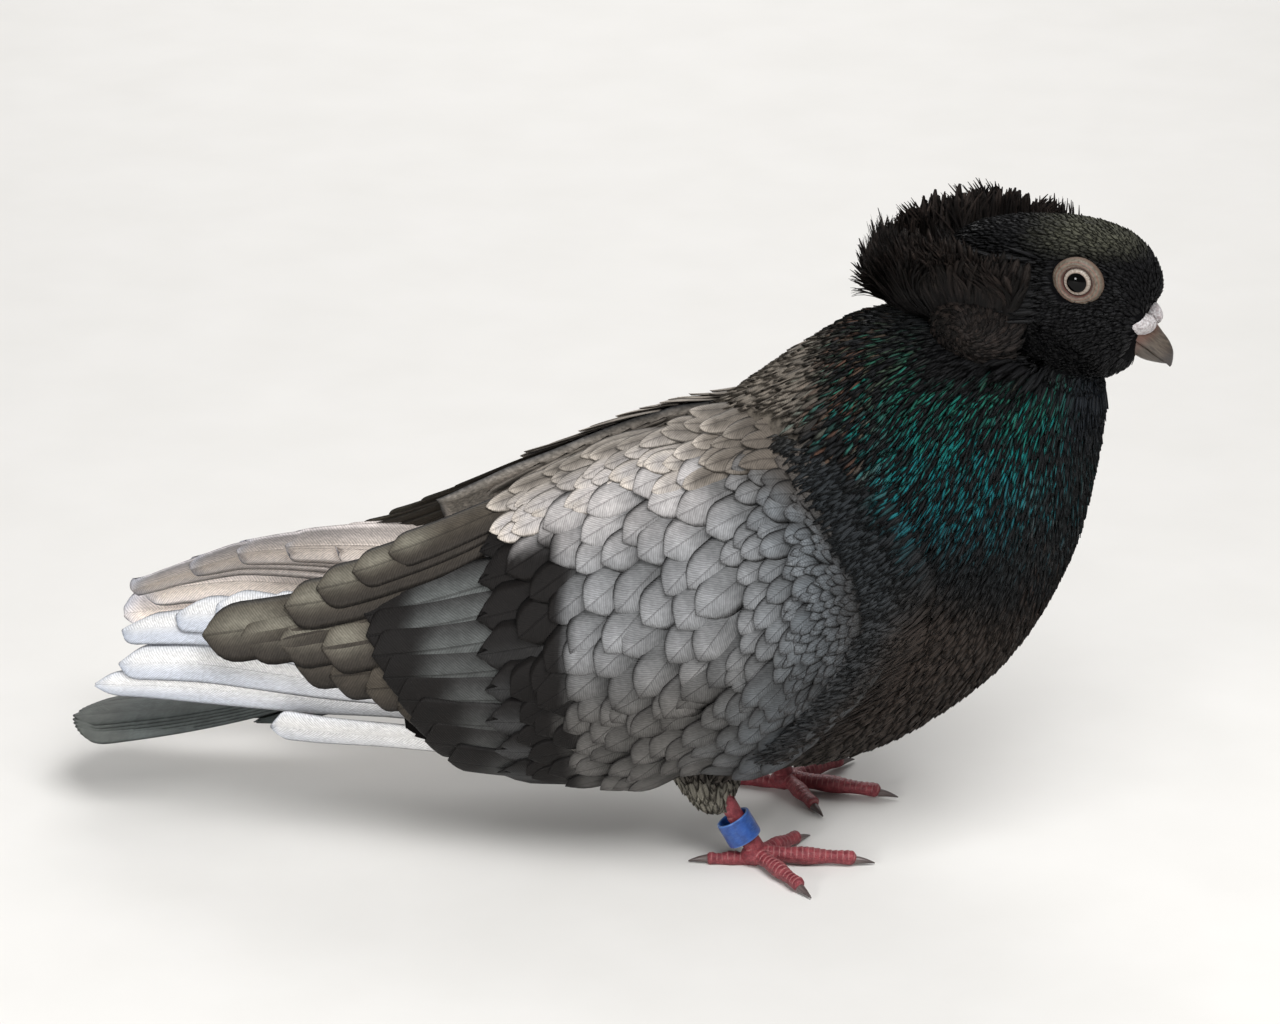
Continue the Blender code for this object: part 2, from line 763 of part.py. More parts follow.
def crest_feathers(where):
    """Overlapping vanes from ear to ear, each second one a little further out."""
    made = []
    for number, (count, width, row, arc) in enumerate(CREST_ROWS):
        for i in range(count):
            turn = CREST_REACH * arc * (2 * i / (count - 1) - 1)
            line = crest_line(turn, row, 0.12 + 0.88 * FEATHER_STEPS)
            outward = crest_normals(line)
            points = in_head(line * MM)
            normals = in_head((line + outward) * MM) - points
            normals /= np.linalg.norm(normals, axis=1, keepdims=True)
            size = (width * MM, CREST_FEATHER_THICK * MM, CREST_TILT * MM)
            name = f"crest{number}_{i}"
            made.append(vane(name, points, normals, size, where, FEATHER_STEPS, 0.8, 0.72))
    return made


def build_crest(where, looks):
    crest = crest_shell("crest", CREST_CORE, CREST_CORE_THICK, where)
    join(crest, crest_feathers(where))
    cut(crest, [room(head_rings, where), room(neck_rings, where)])
    part_crest(crest, where, looks)


# Wings


def wing_slab(name, side, reach, top, depth, counts, where, across=(0.0, 1.0)):
    """A closed layer of the folded wing between two x, below a level, with an edge and a middle depth."""
    rows, columns = counts
    q = np.linspace(across[0], across[1], columns)
    xs = np.linspace(reach[0], reach[1], rows)
    grid = wing_surface(xs[:, None], q[None, :], side)
    normal = wing_slopes(xs[:, None], q[None, :], side)[2]
    edge, middle = depth
    ends = np.sin(math.pi * (np.arange(rows) + 0.6) / (rows + 0.2)) ** 0.5
    deep = edge + (middle - edge) * np.sin(math.pi * q)[None, :] ** 0.8 * ends[:, None]
    return plate(name, grid + normal * top * MM, normal, (deep * MM)[:, :, None], where)


def wing_vane(
    name, side, root, tip, width, thick, lift, where,
    steps=COVERT_STEPS, tilt=0.0, bend=0.0, root_share=0.8, tip_start=0.62,
):
    """A vane on the folded wing between two (x, across) places, with a lift at root and tip in mm."""
    x = root[0] + (tip[0] - root[0]) * steps
    q = root[1] + (tip[1] - root[1]) * steps + bend * np.sin(math.pi * steps)
    along, over, normal = wing_slopes(x, q, side)
    heading = along * np.gradient(x)[:, None] + over * np.gradient(q)[:, None]
    across = np.cross(normal, heading)
    across /= np.linalg.norm(across, axis=1, keepdims=True)
    level = (lift[0] + (lift[1] - lift[0]) * steps**0.7) * MM
    half = feather_outline(steps, root_share, tip_start) * width / 2 * MM
    aa, ao, oo = (np.einsum("ij,ij->i", a, b) for a, b in ((along, along), (along, over), (over, over)))
    ra, ro = (np.einsum("ij,ij->i", across, a) for a in (along, over))
    share_x = (ra * oo - ro * ao) / (aa * oo - ao * ao)
    share_q = (ro * aa - ra * ao) / (aa * oo - ao * ao)
    edge = np.array([[-1.0, 1.0]])
    xs = x[:, None] + share_x[:, None] * half[:, None] * edge
    qs = q[:, None] + share_q[:, None] * half[:, None] * edge
    outward = wing_slopes(xs, qs, side)[2]
    level = level[:, None] + edge * tilt * side * MM / 2
    grid = wing_surface(xs, qs, side) + outward * level[:, :, None]
    depth = (thick * MM * (1 - 0.3 * steps))[:, None, None]
    return plate(name, grid, outward, depth, where)


# Each tier: count, root x, tip x at the top and the bottom, across from top to bottom, width,
# lift at root and tip, thickness.
COVERT_TIERS = {
    "greater": (7, -30, (-66, -62), (0.27, 0.95), 14.0, (-0.6, 0.9), 0.8),
    "median": (6, -9, (-42, -39), (0.20, 0.91), 15.0, (-1.2, 1.3), 1.7),
    "lesser": (6, 10, (-21, -18), (0.17, 0.88), 15.0, (-1.2, 1.4), 1.7),
    "marginal": (4, 28, (1, 0), (0.24, 0.82), 17.0, (-1.2, 1.4), 1.7),
}
SECONDARY_TIER = {
    "secondary": (7, -56, (-96, -77), (0.36, 0.99), 13.5, (-2.2, -0.3), 0.9),
}
COVERT_TILT = 1.3
LONG_ROOT_LIFT = -1.3
LONG_THICK = 0.9
# Root x and across, tip x and across, width, lift at the tip.
TERTIALS = (
    (-62, 0.62, -97, 0.70, 14, -0.2),
    (-62, 0.56, -106, 0.64, 14, 0.1),
    (-64, 0.49, -115, 0.58, 14, 0.4),
    (-64, 0.42, -108, 0.50, 14, 0.7),
    (-64, 0.33, -119, 0.47, 14, 1.2),
    (-62, 0.24, -129, 0.45, 14.5, 1.7),
    (-60, 0.15, -139, 0.44, 15, 2.2),
    (-56, 0.08, -112, 0.16, 14, 2.6),
)
# On the left wing the tertials end further forward, lower and closer to the wing.
FAR_TERTIAL = (8.0, 0.12, -1.0)
SCAPULARS = (
    (14, 0.14, -30, 0.17, 14, 1.7),
    (4, 0.05, -44, 0.10, 14, 2.1),
    (-14, 0.16, -60, 0.20, 14, 1.9),
    (-22, 0.06, -72, 0.09, 14, 2.6),
)
# Tip x and across of each primary, from the innermost, which lies outermost in the folded wing.
PRIMARY_TIPS = (
    (-116, 0.30),
    (-128, 0.20),
    (-140, 0.12),
    (-152, 0.07),
    (-167, 0.04),
    (-165, 0.52),
    (-172, 0.90),
    (-121, 1.13),
)
PRIMARY_ROOT_X = -87.6
PRIMARY_ROOT_ACROSS = (0.50, 0.96)
PRIMARY_WIDTH = 14.0
PRIMARY_THICK = 0.55
PRIMARY_TOP = -2.6
PRIMARY_PITCH = 0.8


def tier_vanes(tiers, side, tilt, where):
    """Rows of overlapping vanes, each row's tips over the roots of the row behind it."""
    made = []
    for tier, (count, root_x, tips, spread, width, lift, thick) in tiers.items():
        for i in range(count):
            share = i / (count - 1)
            q = spread[0] + (spread[1] - spread[0]) * share
            tip = (tips[0] + (tips[1] - tips[0]) * share**1.5, q + 0.01)
            root = (root_x, q - 0.02)
            made.append(wing_vane(f"{tier}{i}", side, root, tip, width, thick, lift, where, tilt=tilt))
    return made


def long_vanes(rows, side, where, far=(0.0, 0.0, 0.0)):
    """Tertials or scapulars, each one lying over the last. Far is what the left wing adds at the tip."""
    made = []
    for i, (x0, q0, x1, q1, width, high) in enumerate(rows):
        if side == LEFT:
            x1, q1, high = x1 + far[0], q1 + far[1], high + far[2]
        size = (width, LONG_THICK)
        lift = (LONG_ROOT_LIFT, high)
        made.append(wing_vane(f"long{i}", side, (x0, q0), (x1, q1), *size, lift, where, tilt=0.4))
    return made


def primary_vanes(side, where):
    made = []
    count = len(PRIMARY_TIPS)
    for i, tip in enumerate(PRIMARY_TIPS):
        share = i / (count - 1)
        first, last = PRIMARY_ROOT_ACROSS
        root = (PRIMARY_ROOT_X, first + (last - first) * share)
        lift = [PRIMARY_TOP - PRIMARY_PITCH * (i if i < count - 1 else 0)] * 2
        shape = {"steps": FLIGHT_STEPS, "bend": 0.04, "tip_start": 0.7}
        size = (PRIMARY_WIDTH, PRIMARY_THICK)
        made.append(wing_vane(f"primary{i}", side, root, tip, *size, lift, where, **shape))
    return made


def build_wings(where, looks):
    """The wing in three parts one behind the other: coverts, secondaries with the tertials, primaries."""
    for side_name, side in SIDES.items():
        reach = (WING[0][0], WING_BODY_END)
        wing = wing_slab(f"wing_{side_name}", side, reach, WING_TOP, WING_DEPTH, (7, 8), where)
        vanes = tier_vanes(COVERT_TIERS, side, COVERT_TILT, where)
        join(wing, vanes + long_vanes(SCAPULARS, side, where))
        reach = (WING_BODY_END - GAP / MM, SECONDARY_BODY_END)
        name = f"secondaries_{side_name}"
        behind = wing_slab(name, side, reach, SECONDARY_TOP, SECONDARY_DEPTH, (4, 8), where)
        vanes = tier_vanes(SECONDARY_TIER, side, SECONDARY_TILT, where)
        join(behind, vanes + long_vanes(TERTIALS, side, where, FAR_TERTIAL))
        reach = (SECONDARY_BODY_END - GAP / MM, PRIMARY_BODY_END)
        name = f"primaries_{side_name}"
        top = PRIMARY_TOP - 0.1
        tips = wing_slab(name, side, reach, top, PRIMARY_DEPTH, (3, 5), where, PRIMARY_ACROSS)
        join(tips, primary_vanes(side, where))
        for piece, look in ((wing, "wing"), (behind, "wing"), (tips, "flight")):
            cut(piece, [room(torso_rings, where), room(neck_rings, where)])
            finish(piece, looks[look])


# Tail


def tail_line(t, level=0.0, sideways=0.0, fan=0.0):
    """The top of the tail from root to tip, in mm, lowered by a level and fanned out by an angle."""
    root = np.array([TAIL_ROOT[0], 0, TAIL_ROOT[1]], float)
    tip = np.array([TAIL_TIP[0], 0, TAIL_TIP[1]], float)
    t = np.asarray(t, float)[:, None]
    line = root + (tip - root) * t
    line[:, 2] += level - TAIL_SAG * np.sin(math.pi * t[:, 0])
    line[:, 1] += sideways + np.linalg.norm(tip - root) * math.tan(fan) * t[:, 0]
    return line


# Share of the tail's length, half height and half width of its fleshy root.
TAIL_BASE = (
    (-0.14, 9.5, 13.5),
    (0.0, 8.0, 13.0),
    (0.16, 5.0, 12.0),
    (0.32, 2.6, 9.5),
)


def tail_base(name, where):
    """The fleshy root of the tail, from the trunk's end to the quills."""
    turn = np.linspace(0, 2 * math.pi, 10, endpoint=False)
    rings = []
    for share, half_height, half_width in TAIL_BASE:
        centre = tail_line([share], -2.8)[0]
        rings.append([centre + (0, half_width * math.sin(a), half_height * math.cos(a)) for a in turn])
    return loft(name, np.array(rings) * MM, where)


def tail_feathers(where):
    """Four pairs, the middle pair on top, each pair one step lower and a little further out."""
    made = []
    for pair in range(TAIL_PAIRS):
        for side in (LEFT, RIGHT):
            level = -TAIL_PITCH * pair - (TAIL_PITCH / 2 if side == LEFT else 0)
            reach = 1 - 0.006 * pair**1.5
            share = (pair + 0.5) / TAIL_PAIRS
            along = 0.1 + (reach - 0.1) * FLIGHT_STEPS
            line = tail_line(along, level, side * (0.6 + 3.8 * share), side * TAIL_FAN * share)
            normals = np.repeat([[0.25, 0, 0.97]], len(line), 0)
            size = (TAIL_FEATHER_WIDTH * MM, TAIL_FEATHER_THICK * MM, 0.0)
            name = f"tail{pair}{side}"
            made.append(vane(name, line * MM, normals, size, where, FLIGHT_STEPS, 0.8, 0.86))
    return made


# Coverts over and under the tail: count, height over the tail's line at root and tip, reach,
# width, up or down.
TAIL_COVERTS = (
    ("over", 3, 7.2, 1.2, 0.42, 17, 1),
    ("under", 3, -13.0, -8.0, 0.44, 17, -1),
)


def tail_coverts(where):
    """Short vanes over and under the roots of the tail feathers."""
    made = []
    for name, count, start, end, reach, width, level in TAIL_COVERTS:
        for i in range(count):
            share = i / (count - 1) * 2 - 1
            along = -0.05 + (reach - 0.03 * share**2) * COVERT_STEPS
            line = tail_line(along, 0.0, share * 8.0, share * 0.05)
            line[:, 2] += start + (end - start) * COVERT_STEPS**0.6 - level * 2.2 * share**2
            normals = np.repeat([[-0.2, share * 0.35, level * 1.0]], len(line), 0)
            normals /= np.linalg.norm(normals, axis=1, keepdims=True)
            size = (width * MM, TAIL_FEATHER_THICK * MM, 0.0)
            points = line * MM
            made.append(vane(f"{name}{i}", points, normals, size, where, COVERT_STEPS, 0.6, 0.55))
    return made


def build_tail(where, looks):
    tail = tail_base("tail", where)
    join(tail, tail_feathers(where) + tail_coverts(where))
    cut(tail, [room(torso_rings, where)])
    finish(tail, looks["tail"])


# Legs


def tube(name, points, radii, where, around=6, flat_at=None):
    """A round tube through points in mm, with an optional flat sole at a level."""
    points = np.asarray(points, float)
    heading = np.gradient(points, axis=0)
    heading /= np.linalg.norm(heading, axis=1, keepdims=True)
    reference = np.array([0, 0, 1.0]) if abs(heading[:, 2]).mean() < 0.7 else np.array([1.0, 0, 0])
    side = np.cross(heading, reference)
    side /= np.linalg.norm(side, axis=1, keepdims=True)
    over = np.cross(side, heading)
    turn = np.linspace(0, 2 * math.pi, around, endpoint=False) + math.pi / around
    rings = []
    for centre, s, o, radius in zip(points, side, over, radii):
        ring = np.array([centre + radius * (math.cos(a) * s + math.sin(a) * o) for a in turn])
        if flat_at is not None:
            ring[:, 2] = np.maximum(ring[:, 2], flat_at)
        rings.append(ring)
    return loft(name, np.array(rings) * MM, where)


def foot_place(side_name):
    return np.array([FOOT_X[side_name], SIDES[side_name] * FOOT_SPREAD, SHANK_FOOT_Z])


def shank_lean():
    return np.array([-math.sin(SHANK_LEAN), 0.0, math.cos(SHANK_LEAN)])


def toe_line(side_name, direction, length, count):
    """Points along a toe, which starts a little above the floor and comes down to it."""
    angle = math.radians(direction)
    heading = np.array([math.cos(angle), SIDES[side_name] * math.sin(angle), 0])
    t = np.linspace(0, 1, count)[:, None]
    start = foot_place(side_name)
    start[2] = TOE_Z + 0.6
    line = start + heading * length * t
    line[:, 2] -= 0.9 * t[:, 0]
    return line


TOE_POINTS = 5
TOE_JOINTS = 2
SOLE_SHARE = 0.8


def foot(side_name, where):
    name = f"foot_{side_name}"
    low = foot_place(side_name)
    high = low + shank_lean() * SHANK_LENGTH
    shank = tube(name, [low, (low + high) / 2, high], np.array([1.15, 0.95, 1.1]) * SHANK_RADIUS, where)
    ball = egg_points(np.array((4.0, 3.6, 2.6)), 10, 6) + low - np.array([0, 0, 0.9])
    pieces = [loft("ball", ball * MM, where)]
    for toe, direction, length, thick, thin in TOES:
        line = toe_line(side_name, direction, length, TOE_POINTS)
        swell = 1 + 0.10 * np.cos(np.linspace(0, 2 * math.pi * TOE_JOINTS, TOE_POINTS))
        radii = np.linspace(thick, thin, TOE_POINTS) * swell
        line[:, 2] = np.maximum(line[:, 2] * (0.5 if toe == "hind" else 1.0), radii * SOLE_SHARE)
        pieces.append(tube(f"{name}_{toe}", line, radii, where, flat_at=0.0))
    join(shank, pieces)
    cut(shank, [thigh(side_name, where, grow=CUT_GAP)])
    return shank


def claw(side_name, toe, direction, length, thin, where):
    """A curved nail in front of the toe's tip, one gap away from it."""
    line = toe_line(side_name, direction, length, 3)
    heading = (line[-1] - line[0]) * np.array([1, 1, 0])
    heading /= np.linalg.norm(heading)
    start = line[-1] + heading * CLAW_GAP
    start[2] = thin * 0.85
    steps = np.linspace(0, 1, 3)
    points = [start + heading * CLAW_LENGTH * s + np.array([0, 0, -0.75 * s**2]) for s in steps]
    radii = CLAW_RADIUS * (1 - 0.78 * steps)
    return tube(f"claw_{toe}_{side_name}", points, radii, where, 5, flat_at=0.05)


THIGH = (
    # Height, x, sideways, half length and half breadth.
    (42, -17, 15, 15.5, 9),
    (33, -15.5, 17, 14.0, 7.8),
    (26, -14, 19, 11.5, 6.6),
    (19.5, -12.4, 21.5, 7.4, 5.4),
    (14.4, -11.0, 22.9, 4.4, 4.0),
)


def thigh(side_name, where, around=12, grow=0.0):
    side = SIDES[side_name]
    shift = FOOT_X[side_name]
    wider = grow / MM
    rings = []
    for z, x, y, long, broad in through(THIGH, np.linspace(0, len(THIGH) - 1, 7)):
        turn = np.linspace(0, 2 * math.pi, around, endpoint=False)
        ring = np.full((around, 3), z)
        ring[:, 0] = x + shift + (long + wider) * np.cos(turn)
        ring[:, 1] = side * y + (broad + wider) * np.sin(turn)
        rings.append(ring)
    rings = np.array(rings)
    rings[-1, :, 2] -= wider
    return loft(f"thigh_{side_name}", rings * MM, where)


def leg_band(side_name, where, around=16):
    """The closed ring on the shank, which leans with it and rests against it."""
    lean = shank_lean()
    across = np.array([math.cos(SHANK_LEAN), 0.0, math.sin(SHANK_LEAN)])
    middle = foot_place(side_name) + lean * BAND_UP + across * BAND_FORWARD
    half = BAND_HEIGHT / 2
    bevel = 0.3
    profile = (
        (BAND_OUTER, half - bevel),
        (BAND_OUTER, bevel - half),
        (BAND_OUTER - bevel, -half),
        (BAND_INNER, -half),
        (BAND_INNER, half),
        (BAND_OUTER - bevel, half),
    )
    loops = []
    for turn in np.linspace(0, 2 * math.pi, around, endpoint=False):
        outward = across * math.cos(turn) + np.array([0, math.sin(turn), 0])
        loops.append([middle + outward * reach + lean * level for reach, level in profile])
    return band_of("leg_band", np.array(loops) * MM, where)


def build_legs(where, looks):
    for side_name, side in SIDES.items():
        upper = thigh(side_name, where)
        cut(upper, [room(torso_rings, where)])
        finish(upper, looks["belly"])
        finish(foot(side_name, where), looks["leg"])
        for toe, direction, length, thick, thin in TOES:
            finish(claw(side_name, toe, direction, length, thin, where), looks["claw"])
    finish(leg_band("right", where), looks["band"])


# Assembly


def rest_on_origin(where):
    """Moves every piece so that the middle of the whole bird's base is the origin."""
    bpy.context.view_layer.update()
    points = np.concatenate([mesh_arrays(thing.data)[0] for thing in where.objects])
    low, high = points.min(0), points.max(0)
    shift = Vector((-(low[0] + high[0]) / 2, -(low[1] + high[1]) / 2, -low[2]))
    for thing in where.objects:
        thing.location = shift


def main():
    clear_scene()
    where = collection("komorn_tumbler_pigeon")
    looks = {
        "neck": material("neck_feathers", (0.012, 0.045, 0.045), 0.45, 0.2),
        "head": material("head_feathers", (0.012, 0.014, 0.016), 0.6),
        "belly": material("belly_feathers", (0.03, 0.03, 0.032), 0.8),
        "wing": material("wing_feathers", (0.16, 0.17, 0.19), 0.7),
        "flight": material("flight_feathers", (0.72, 0.74, 0.78), 0.7),
        "tail": material("tail_feathers", (0.05, 0.06, 0.07), 0.7),
        "eye": material("eye", (0.62, 0.55, 0.46), 0.1),
        "bare_skin": material("eye_ring_skin", (0.36, 0.31, 0.26), 0.6),
        "horn": material("bill_horn", (0.17, 0.15, 0.14), 0.4),
        "cere": material("cere_skin", (0.62, 0.6, 0.62), 0.8),
        "leg": material("leg_scales", (0.35, 0.06, 0.08), 0.55),
        "claw": material("claw_horn", (0.12, 0.1, 0.1), 0.4),
        "band": material("leg_band_plastic", (0.01, 0.09, 0.42), 0.35),
    }
    build_trunk(where, looks)
    head = loft("head", head_rings(), where)
    build_eyes(head, where, looks)
    build_bill(head, where, looks)
    finish(head, looks["head"])
    build_crest(where, looks)
    build_wings(where, looks)
    build_tail(where, looks)
    build_legs(where, looks)
    rest_on_origin(where)


main()
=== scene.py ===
"""Looks of a standing Komorn tumbler pigeon: skin, coat, flight feathers, eyes, bill, feet and leg ring.

Shapes are worked out in millimetres from the point on the floor between the feet, the bird facing +X,
and are moved into the frame, in metres, when a mesh is made. Colours are named as they look on a screen.
"""

import math

import bpy
import numpy as np
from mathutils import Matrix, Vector
from mathutils.bvhtree import BVHTree


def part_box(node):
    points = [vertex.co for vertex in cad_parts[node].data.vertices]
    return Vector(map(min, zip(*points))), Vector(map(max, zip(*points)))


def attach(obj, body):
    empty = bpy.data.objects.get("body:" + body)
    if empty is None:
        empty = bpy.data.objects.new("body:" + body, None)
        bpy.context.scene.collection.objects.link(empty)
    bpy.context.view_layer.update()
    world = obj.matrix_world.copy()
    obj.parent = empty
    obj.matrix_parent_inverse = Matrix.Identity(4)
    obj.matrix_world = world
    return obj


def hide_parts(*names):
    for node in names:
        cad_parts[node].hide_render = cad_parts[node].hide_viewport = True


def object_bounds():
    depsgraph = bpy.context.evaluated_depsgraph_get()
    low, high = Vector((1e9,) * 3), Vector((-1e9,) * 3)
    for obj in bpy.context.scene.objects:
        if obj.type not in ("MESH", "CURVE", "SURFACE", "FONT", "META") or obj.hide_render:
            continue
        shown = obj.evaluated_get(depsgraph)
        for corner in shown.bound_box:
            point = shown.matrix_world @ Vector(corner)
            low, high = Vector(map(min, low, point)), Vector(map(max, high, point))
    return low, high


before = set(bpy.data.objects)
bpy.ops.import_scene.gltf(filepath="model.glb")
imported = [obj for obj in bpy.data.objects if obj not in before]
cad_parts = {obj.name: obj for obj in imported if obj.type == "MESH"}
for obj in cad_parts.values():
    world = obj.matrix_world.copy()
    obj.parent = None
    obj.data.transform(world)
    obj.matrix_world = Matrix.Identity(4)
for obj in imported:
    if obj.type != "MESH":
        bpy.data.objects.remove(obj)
cad_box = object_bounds()

MM = 0.001
LEFT = 1
RIGHT = -1
SIDES = {"left": LEFT, "right": RIGHT}
BODY = "root"
SEED = 20

# Where the millimetre frame's origin lies in the frame, from the torso's rear end and its middle.
TORSO_REAR = -104.0
torso_low, torso_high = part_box("torso")
SHIFT = np.array([torso_low.x / MM - TORSO_REAR, (torso_low.y + torso_high.y) / 2 / MM, cad_box[0].z / MM])

# Camera
CAMERA_TURN = math.radians(8)
CAMERA_RISE = math.radians(22)
CAMERA_AWAY = 1400.0
CAMERA_LENS = 157.5
SENSOR = 36.0
CAMERA_TARGET = np.array([-32.8, 0.0, 84.2])

# Trunk and neck: back x and z, breast x and z, half width, how far the widest level lies above the middle.
TRUNK = (
    (-104, 53, -100, 44, 8.5, 0.0),
    (-92, 63, -85, 35.5, 17.5, 0.0),
    (-72, 80, -58, 26, 27, 0.02),
    (-46, 96, -27, 18.5, 32.5, 0.06),
    (-20, 110, 5, 18.5, 33.5, 0.10),
    (-4, 121.7, 27, 24.5, 34, 0.10),
    (5, 129.0, 48, 38.5, 33, 0.06),
    (12, 134.0, 63.5, 55, 31, 0.0),
    (18, 138.2, 74.8, 77, 28, -0.04),
    (22.5, 140.0, 80.0, 97, 25, -0.06),
    (29, 141.4, 82.2, 112.5, 21, 0.0),
    (39, 143.0, 83.7, 125.0, 15.5, 0.0),
)

# Head, in its own frame before it is turned: crown x and z, jaw x and z, half width.
HEAD = (
    (39.5, 150, 43, 143, 4, 0.0),
    (41.5, 157.5, 49, 134.5, 9.2, 0.0),
    (48, 163.5, 57, 128, 12.2, 0.0),
    (58, 166.7, 66, 125.4, 13.5, 0.0),
    (68, 167.6, 74, 125.2, 13.7, 0.0),
    (78, 167.4, 81, 126.5, 13.1, 0.04),
    (87, 165.1, 86.5, 129, 11.8, 0.08),
    (93, 160.6, 89.6, 131.5, 10.0, 0.08),
    (96.1, 155.2, 91.0, 134, 8.0, 0.0),
    (96.6, 150.3, 91.4, 136, 6.0, 0.0),
    (94.6, 147.4, 91.5, 138, 4.4, 0.0),
    (94.2, 146.2, 92.3, 139.8, 2.6, 0.0),
)
HEAD_PIVOT = np.array([57.0, 0.0, 143.0])
HEAD_TURN = math.radians(12)
HEAD_RAISE = math.radians(3)

# Thigh: height, x, sideways, half length and half breadth.
THIGH = (
    (42, -17, 15, 15.5, 9),
    (33, -15.5, 17, 14.0, 7.8),
    (26, -14, 19, 11.5, 6.6),
    (19.5, -12.4, 21.5, 7.4, 5.4),
    (14.4, -11.0, 22.9, 4.4, 4.0),
)

# Folded wing as an arc of an ellipse at each x: half width, centre height, half height, edge angles.
WING = (
    (36.5, 36.0, 78, 34, 84, 96),
    (33.0, 37.0, 78, 38, 68, 112),
    (26.0, 38.8, 76, 44, 52, 124),
    (14.0, 41.0, 72, 50, 26, 134),
    (0.0, 42.6, 67, 52, 10, 141),
    (-15.0, 43.0, 65, 49, 9, 141),
    (-30.0, 42.4, 60, 50, 10, 139),
    (-60.0, 39.0, 53, 44, 16, 131),
    (-90.0, 35.0, 49, 34.5, 23, 124),
    (-114.0, 33.0, 44, 29.5, 24, 112),
    (-140.0, 30.0, 40, 25, 20, 102),
    (-158.0, 27.0, 37, 20, 17, 95),
    (-172.0, 24.0, 34.5, 17, 15, 89),
    (-178.0, 22.5, 33.5, 16, 15, 87),
)
LEFT_RISE = 4.0
LEFT_RISE_FROM = -85.0
LEFT_RISE_TO = -170.0

# Where the wing's own body ends behind, and where it thins out
WING_END = -88.0
WING_THIN_FROM = -70.0
WING_SUNK = -1.2

# Depth of the coat over the skin, and the skin's own fineness
COAT = 1.0
HEAD_COAT = 0.6
THIGH_COAT = 0.8
SKIN_VOXEL = 1.25


# Curves and surfaces


def rng(number):
    return np.random.default_rng(SEED * 1000 + number)


def smooth(low, high, value):
    t = np.clip((np.asarray(value, float) - low) / (high - low), 0, 1)
    return t * t * (3 - 2 * t)


def unit(vectors):
    return vectors / np.maximum(np.linalg.norm(vectors, axis=-1, keepdims=True), 1e-9)


def dot(a, b):
    return np.einsum("...i,...i->...", a, b)


def round_turns(count):
    """Angles all the way round, in equal steps."""
    return np.linspace(0, 2 * math.pi, count, endpoint=False)


def triple(a, b, c=0.0):
    """Three numbers for each point, stretched to one shape."""
    return np.stack(np.broadcast_arrays(a, b, c), -1)


def way_along(points):
    """Distance of each point from the first, along the line."""
    return np.concatenate([[0], np.linalg.norm(np.diff(points, axis=0), axis=1).cumsum()])


def through(table, at):
    """Rows of the table joined by a smooth curve, read at row numbers that may be fractions."""
    rows = np.asarray(table, float)
    shape = np.shape(at)
    at = np.clip(np.asarray(at, float).ravel(), 0, len(rows) - 1)
    low = np.minimum(at.astype(int), len(rows) - 2)
    slope = np.gradient(rows, axis=0)
    t = (at - low)[:, None]
    made = (2 * t**3 - 3 * t**2 + 1) * rows[low] + (t**3 - 2 * t**2 + t) * slope[low]
    made += (-2 * t**3 + 3 * t**2) * rows[low + 1] + (t**3 - t**2) * slope[low + 1]
    return made.reshape(*shape, rows.shape[1])


def section_point(table, at, turn):
    """A point on the surface through the table's cross-sections. A turn of 0 is the back."""
    rows = through(table, at)
    c, s = np.cos(turn), np.sin(turn)
    x = (rows[..., 0] + rows[..., 2]) / 2 + (rows[..., 0] - rows[..., 2]) / 2 * c
    z = (rows[..., 1] + rows[..., 3]) / 2 + (rows[..., 1] - rows[..., 3]) / 2 * c
    y = rows[..., 4] * s * (1 + rows[..., 5] * c)
    return np.stack([x, y, z], -1)


def head_matrix():
    """Turns the head's own frame as the bird holds its head, raised and then turned."""
    c, s = math.cos(HEAD_RAISE), math.sin(HEAD_RAISE)
    raised = np.array([[c, 0, -s], [0, 1, 0], [s, 0, c]])
    c, s = math.cos(HEAD_TURN), math.sin(HEAD_TURN)
    turned = np.array([[c, s, 0], [-s, c, 0], [0, 0, 1]])
    return turned @ raised


HEAD_MATRIX = head_matrix()


def in_head(points):
    """Places of the head's own frame, raised and turned with the head."""
    return (np.asarray(points, float) - HEAD_PIVOT) @ HEAD_MATRIX.T + HEAD_PIVOT


def from_head(points):
    return (np.asarray(points, float) - HEAD_PIVOT) @ HEAD_MATRIX + HEAD_PIVOT


def trunk_point(at, turn):
    return section_point(TRUNK, at, turn)


def head_point(at, turn):
    return in_head(section_point(HEAD, at, turn))


def wing_rows(x):
    """The numbers of the wing's table at each x."""
    stations = np.array(WING, float)
    return through(stations, np.interp(-x, -stations[:, 0], np.arange(len(stations))))


def wing_point(x, across, side):
    """A point on the folded wing, across from 0 at the upper edge to 1 at the lower edge."""
    x, across = np.broadcast_arrays(np.asarray(x, float), np.asarray(across, float))
    rows = wing_rows(x)
    angle = np.radians(rows[..., 4] + (rows[..., 5] - rows[..., 4]) * across)
    y = rows[..., 1] * np.sin(angle)
    z = rows[..., 2] + rows[..., 3] * np.cos(angle)
    if side == LEFT:
        z = z + LEFT_RISE * smooth(0, 1, (x - LEFT_RISE_FROM) / (LEFT_RISE_TO - LEFT_RISE_FROM))
    return np.stack([x, side * y, z], -1)


def wing_slopes(x, across, side):
    """Change of the wing surface per mm of x and per unit across, and the outward direction."""
    along = wing_point(x + 0.5, across, side) - wing_point(x - 0.5, across, side)
    over = (wing_point(x, across + 0.01, side) - wing_point(x, across - 0.01, side)) / 0.02
    return along, over, unit(np.cross(along, over) * side)


# Meshes


def into_frame(points):
    return (np.asarray(points, float) + SHIFT) * MM


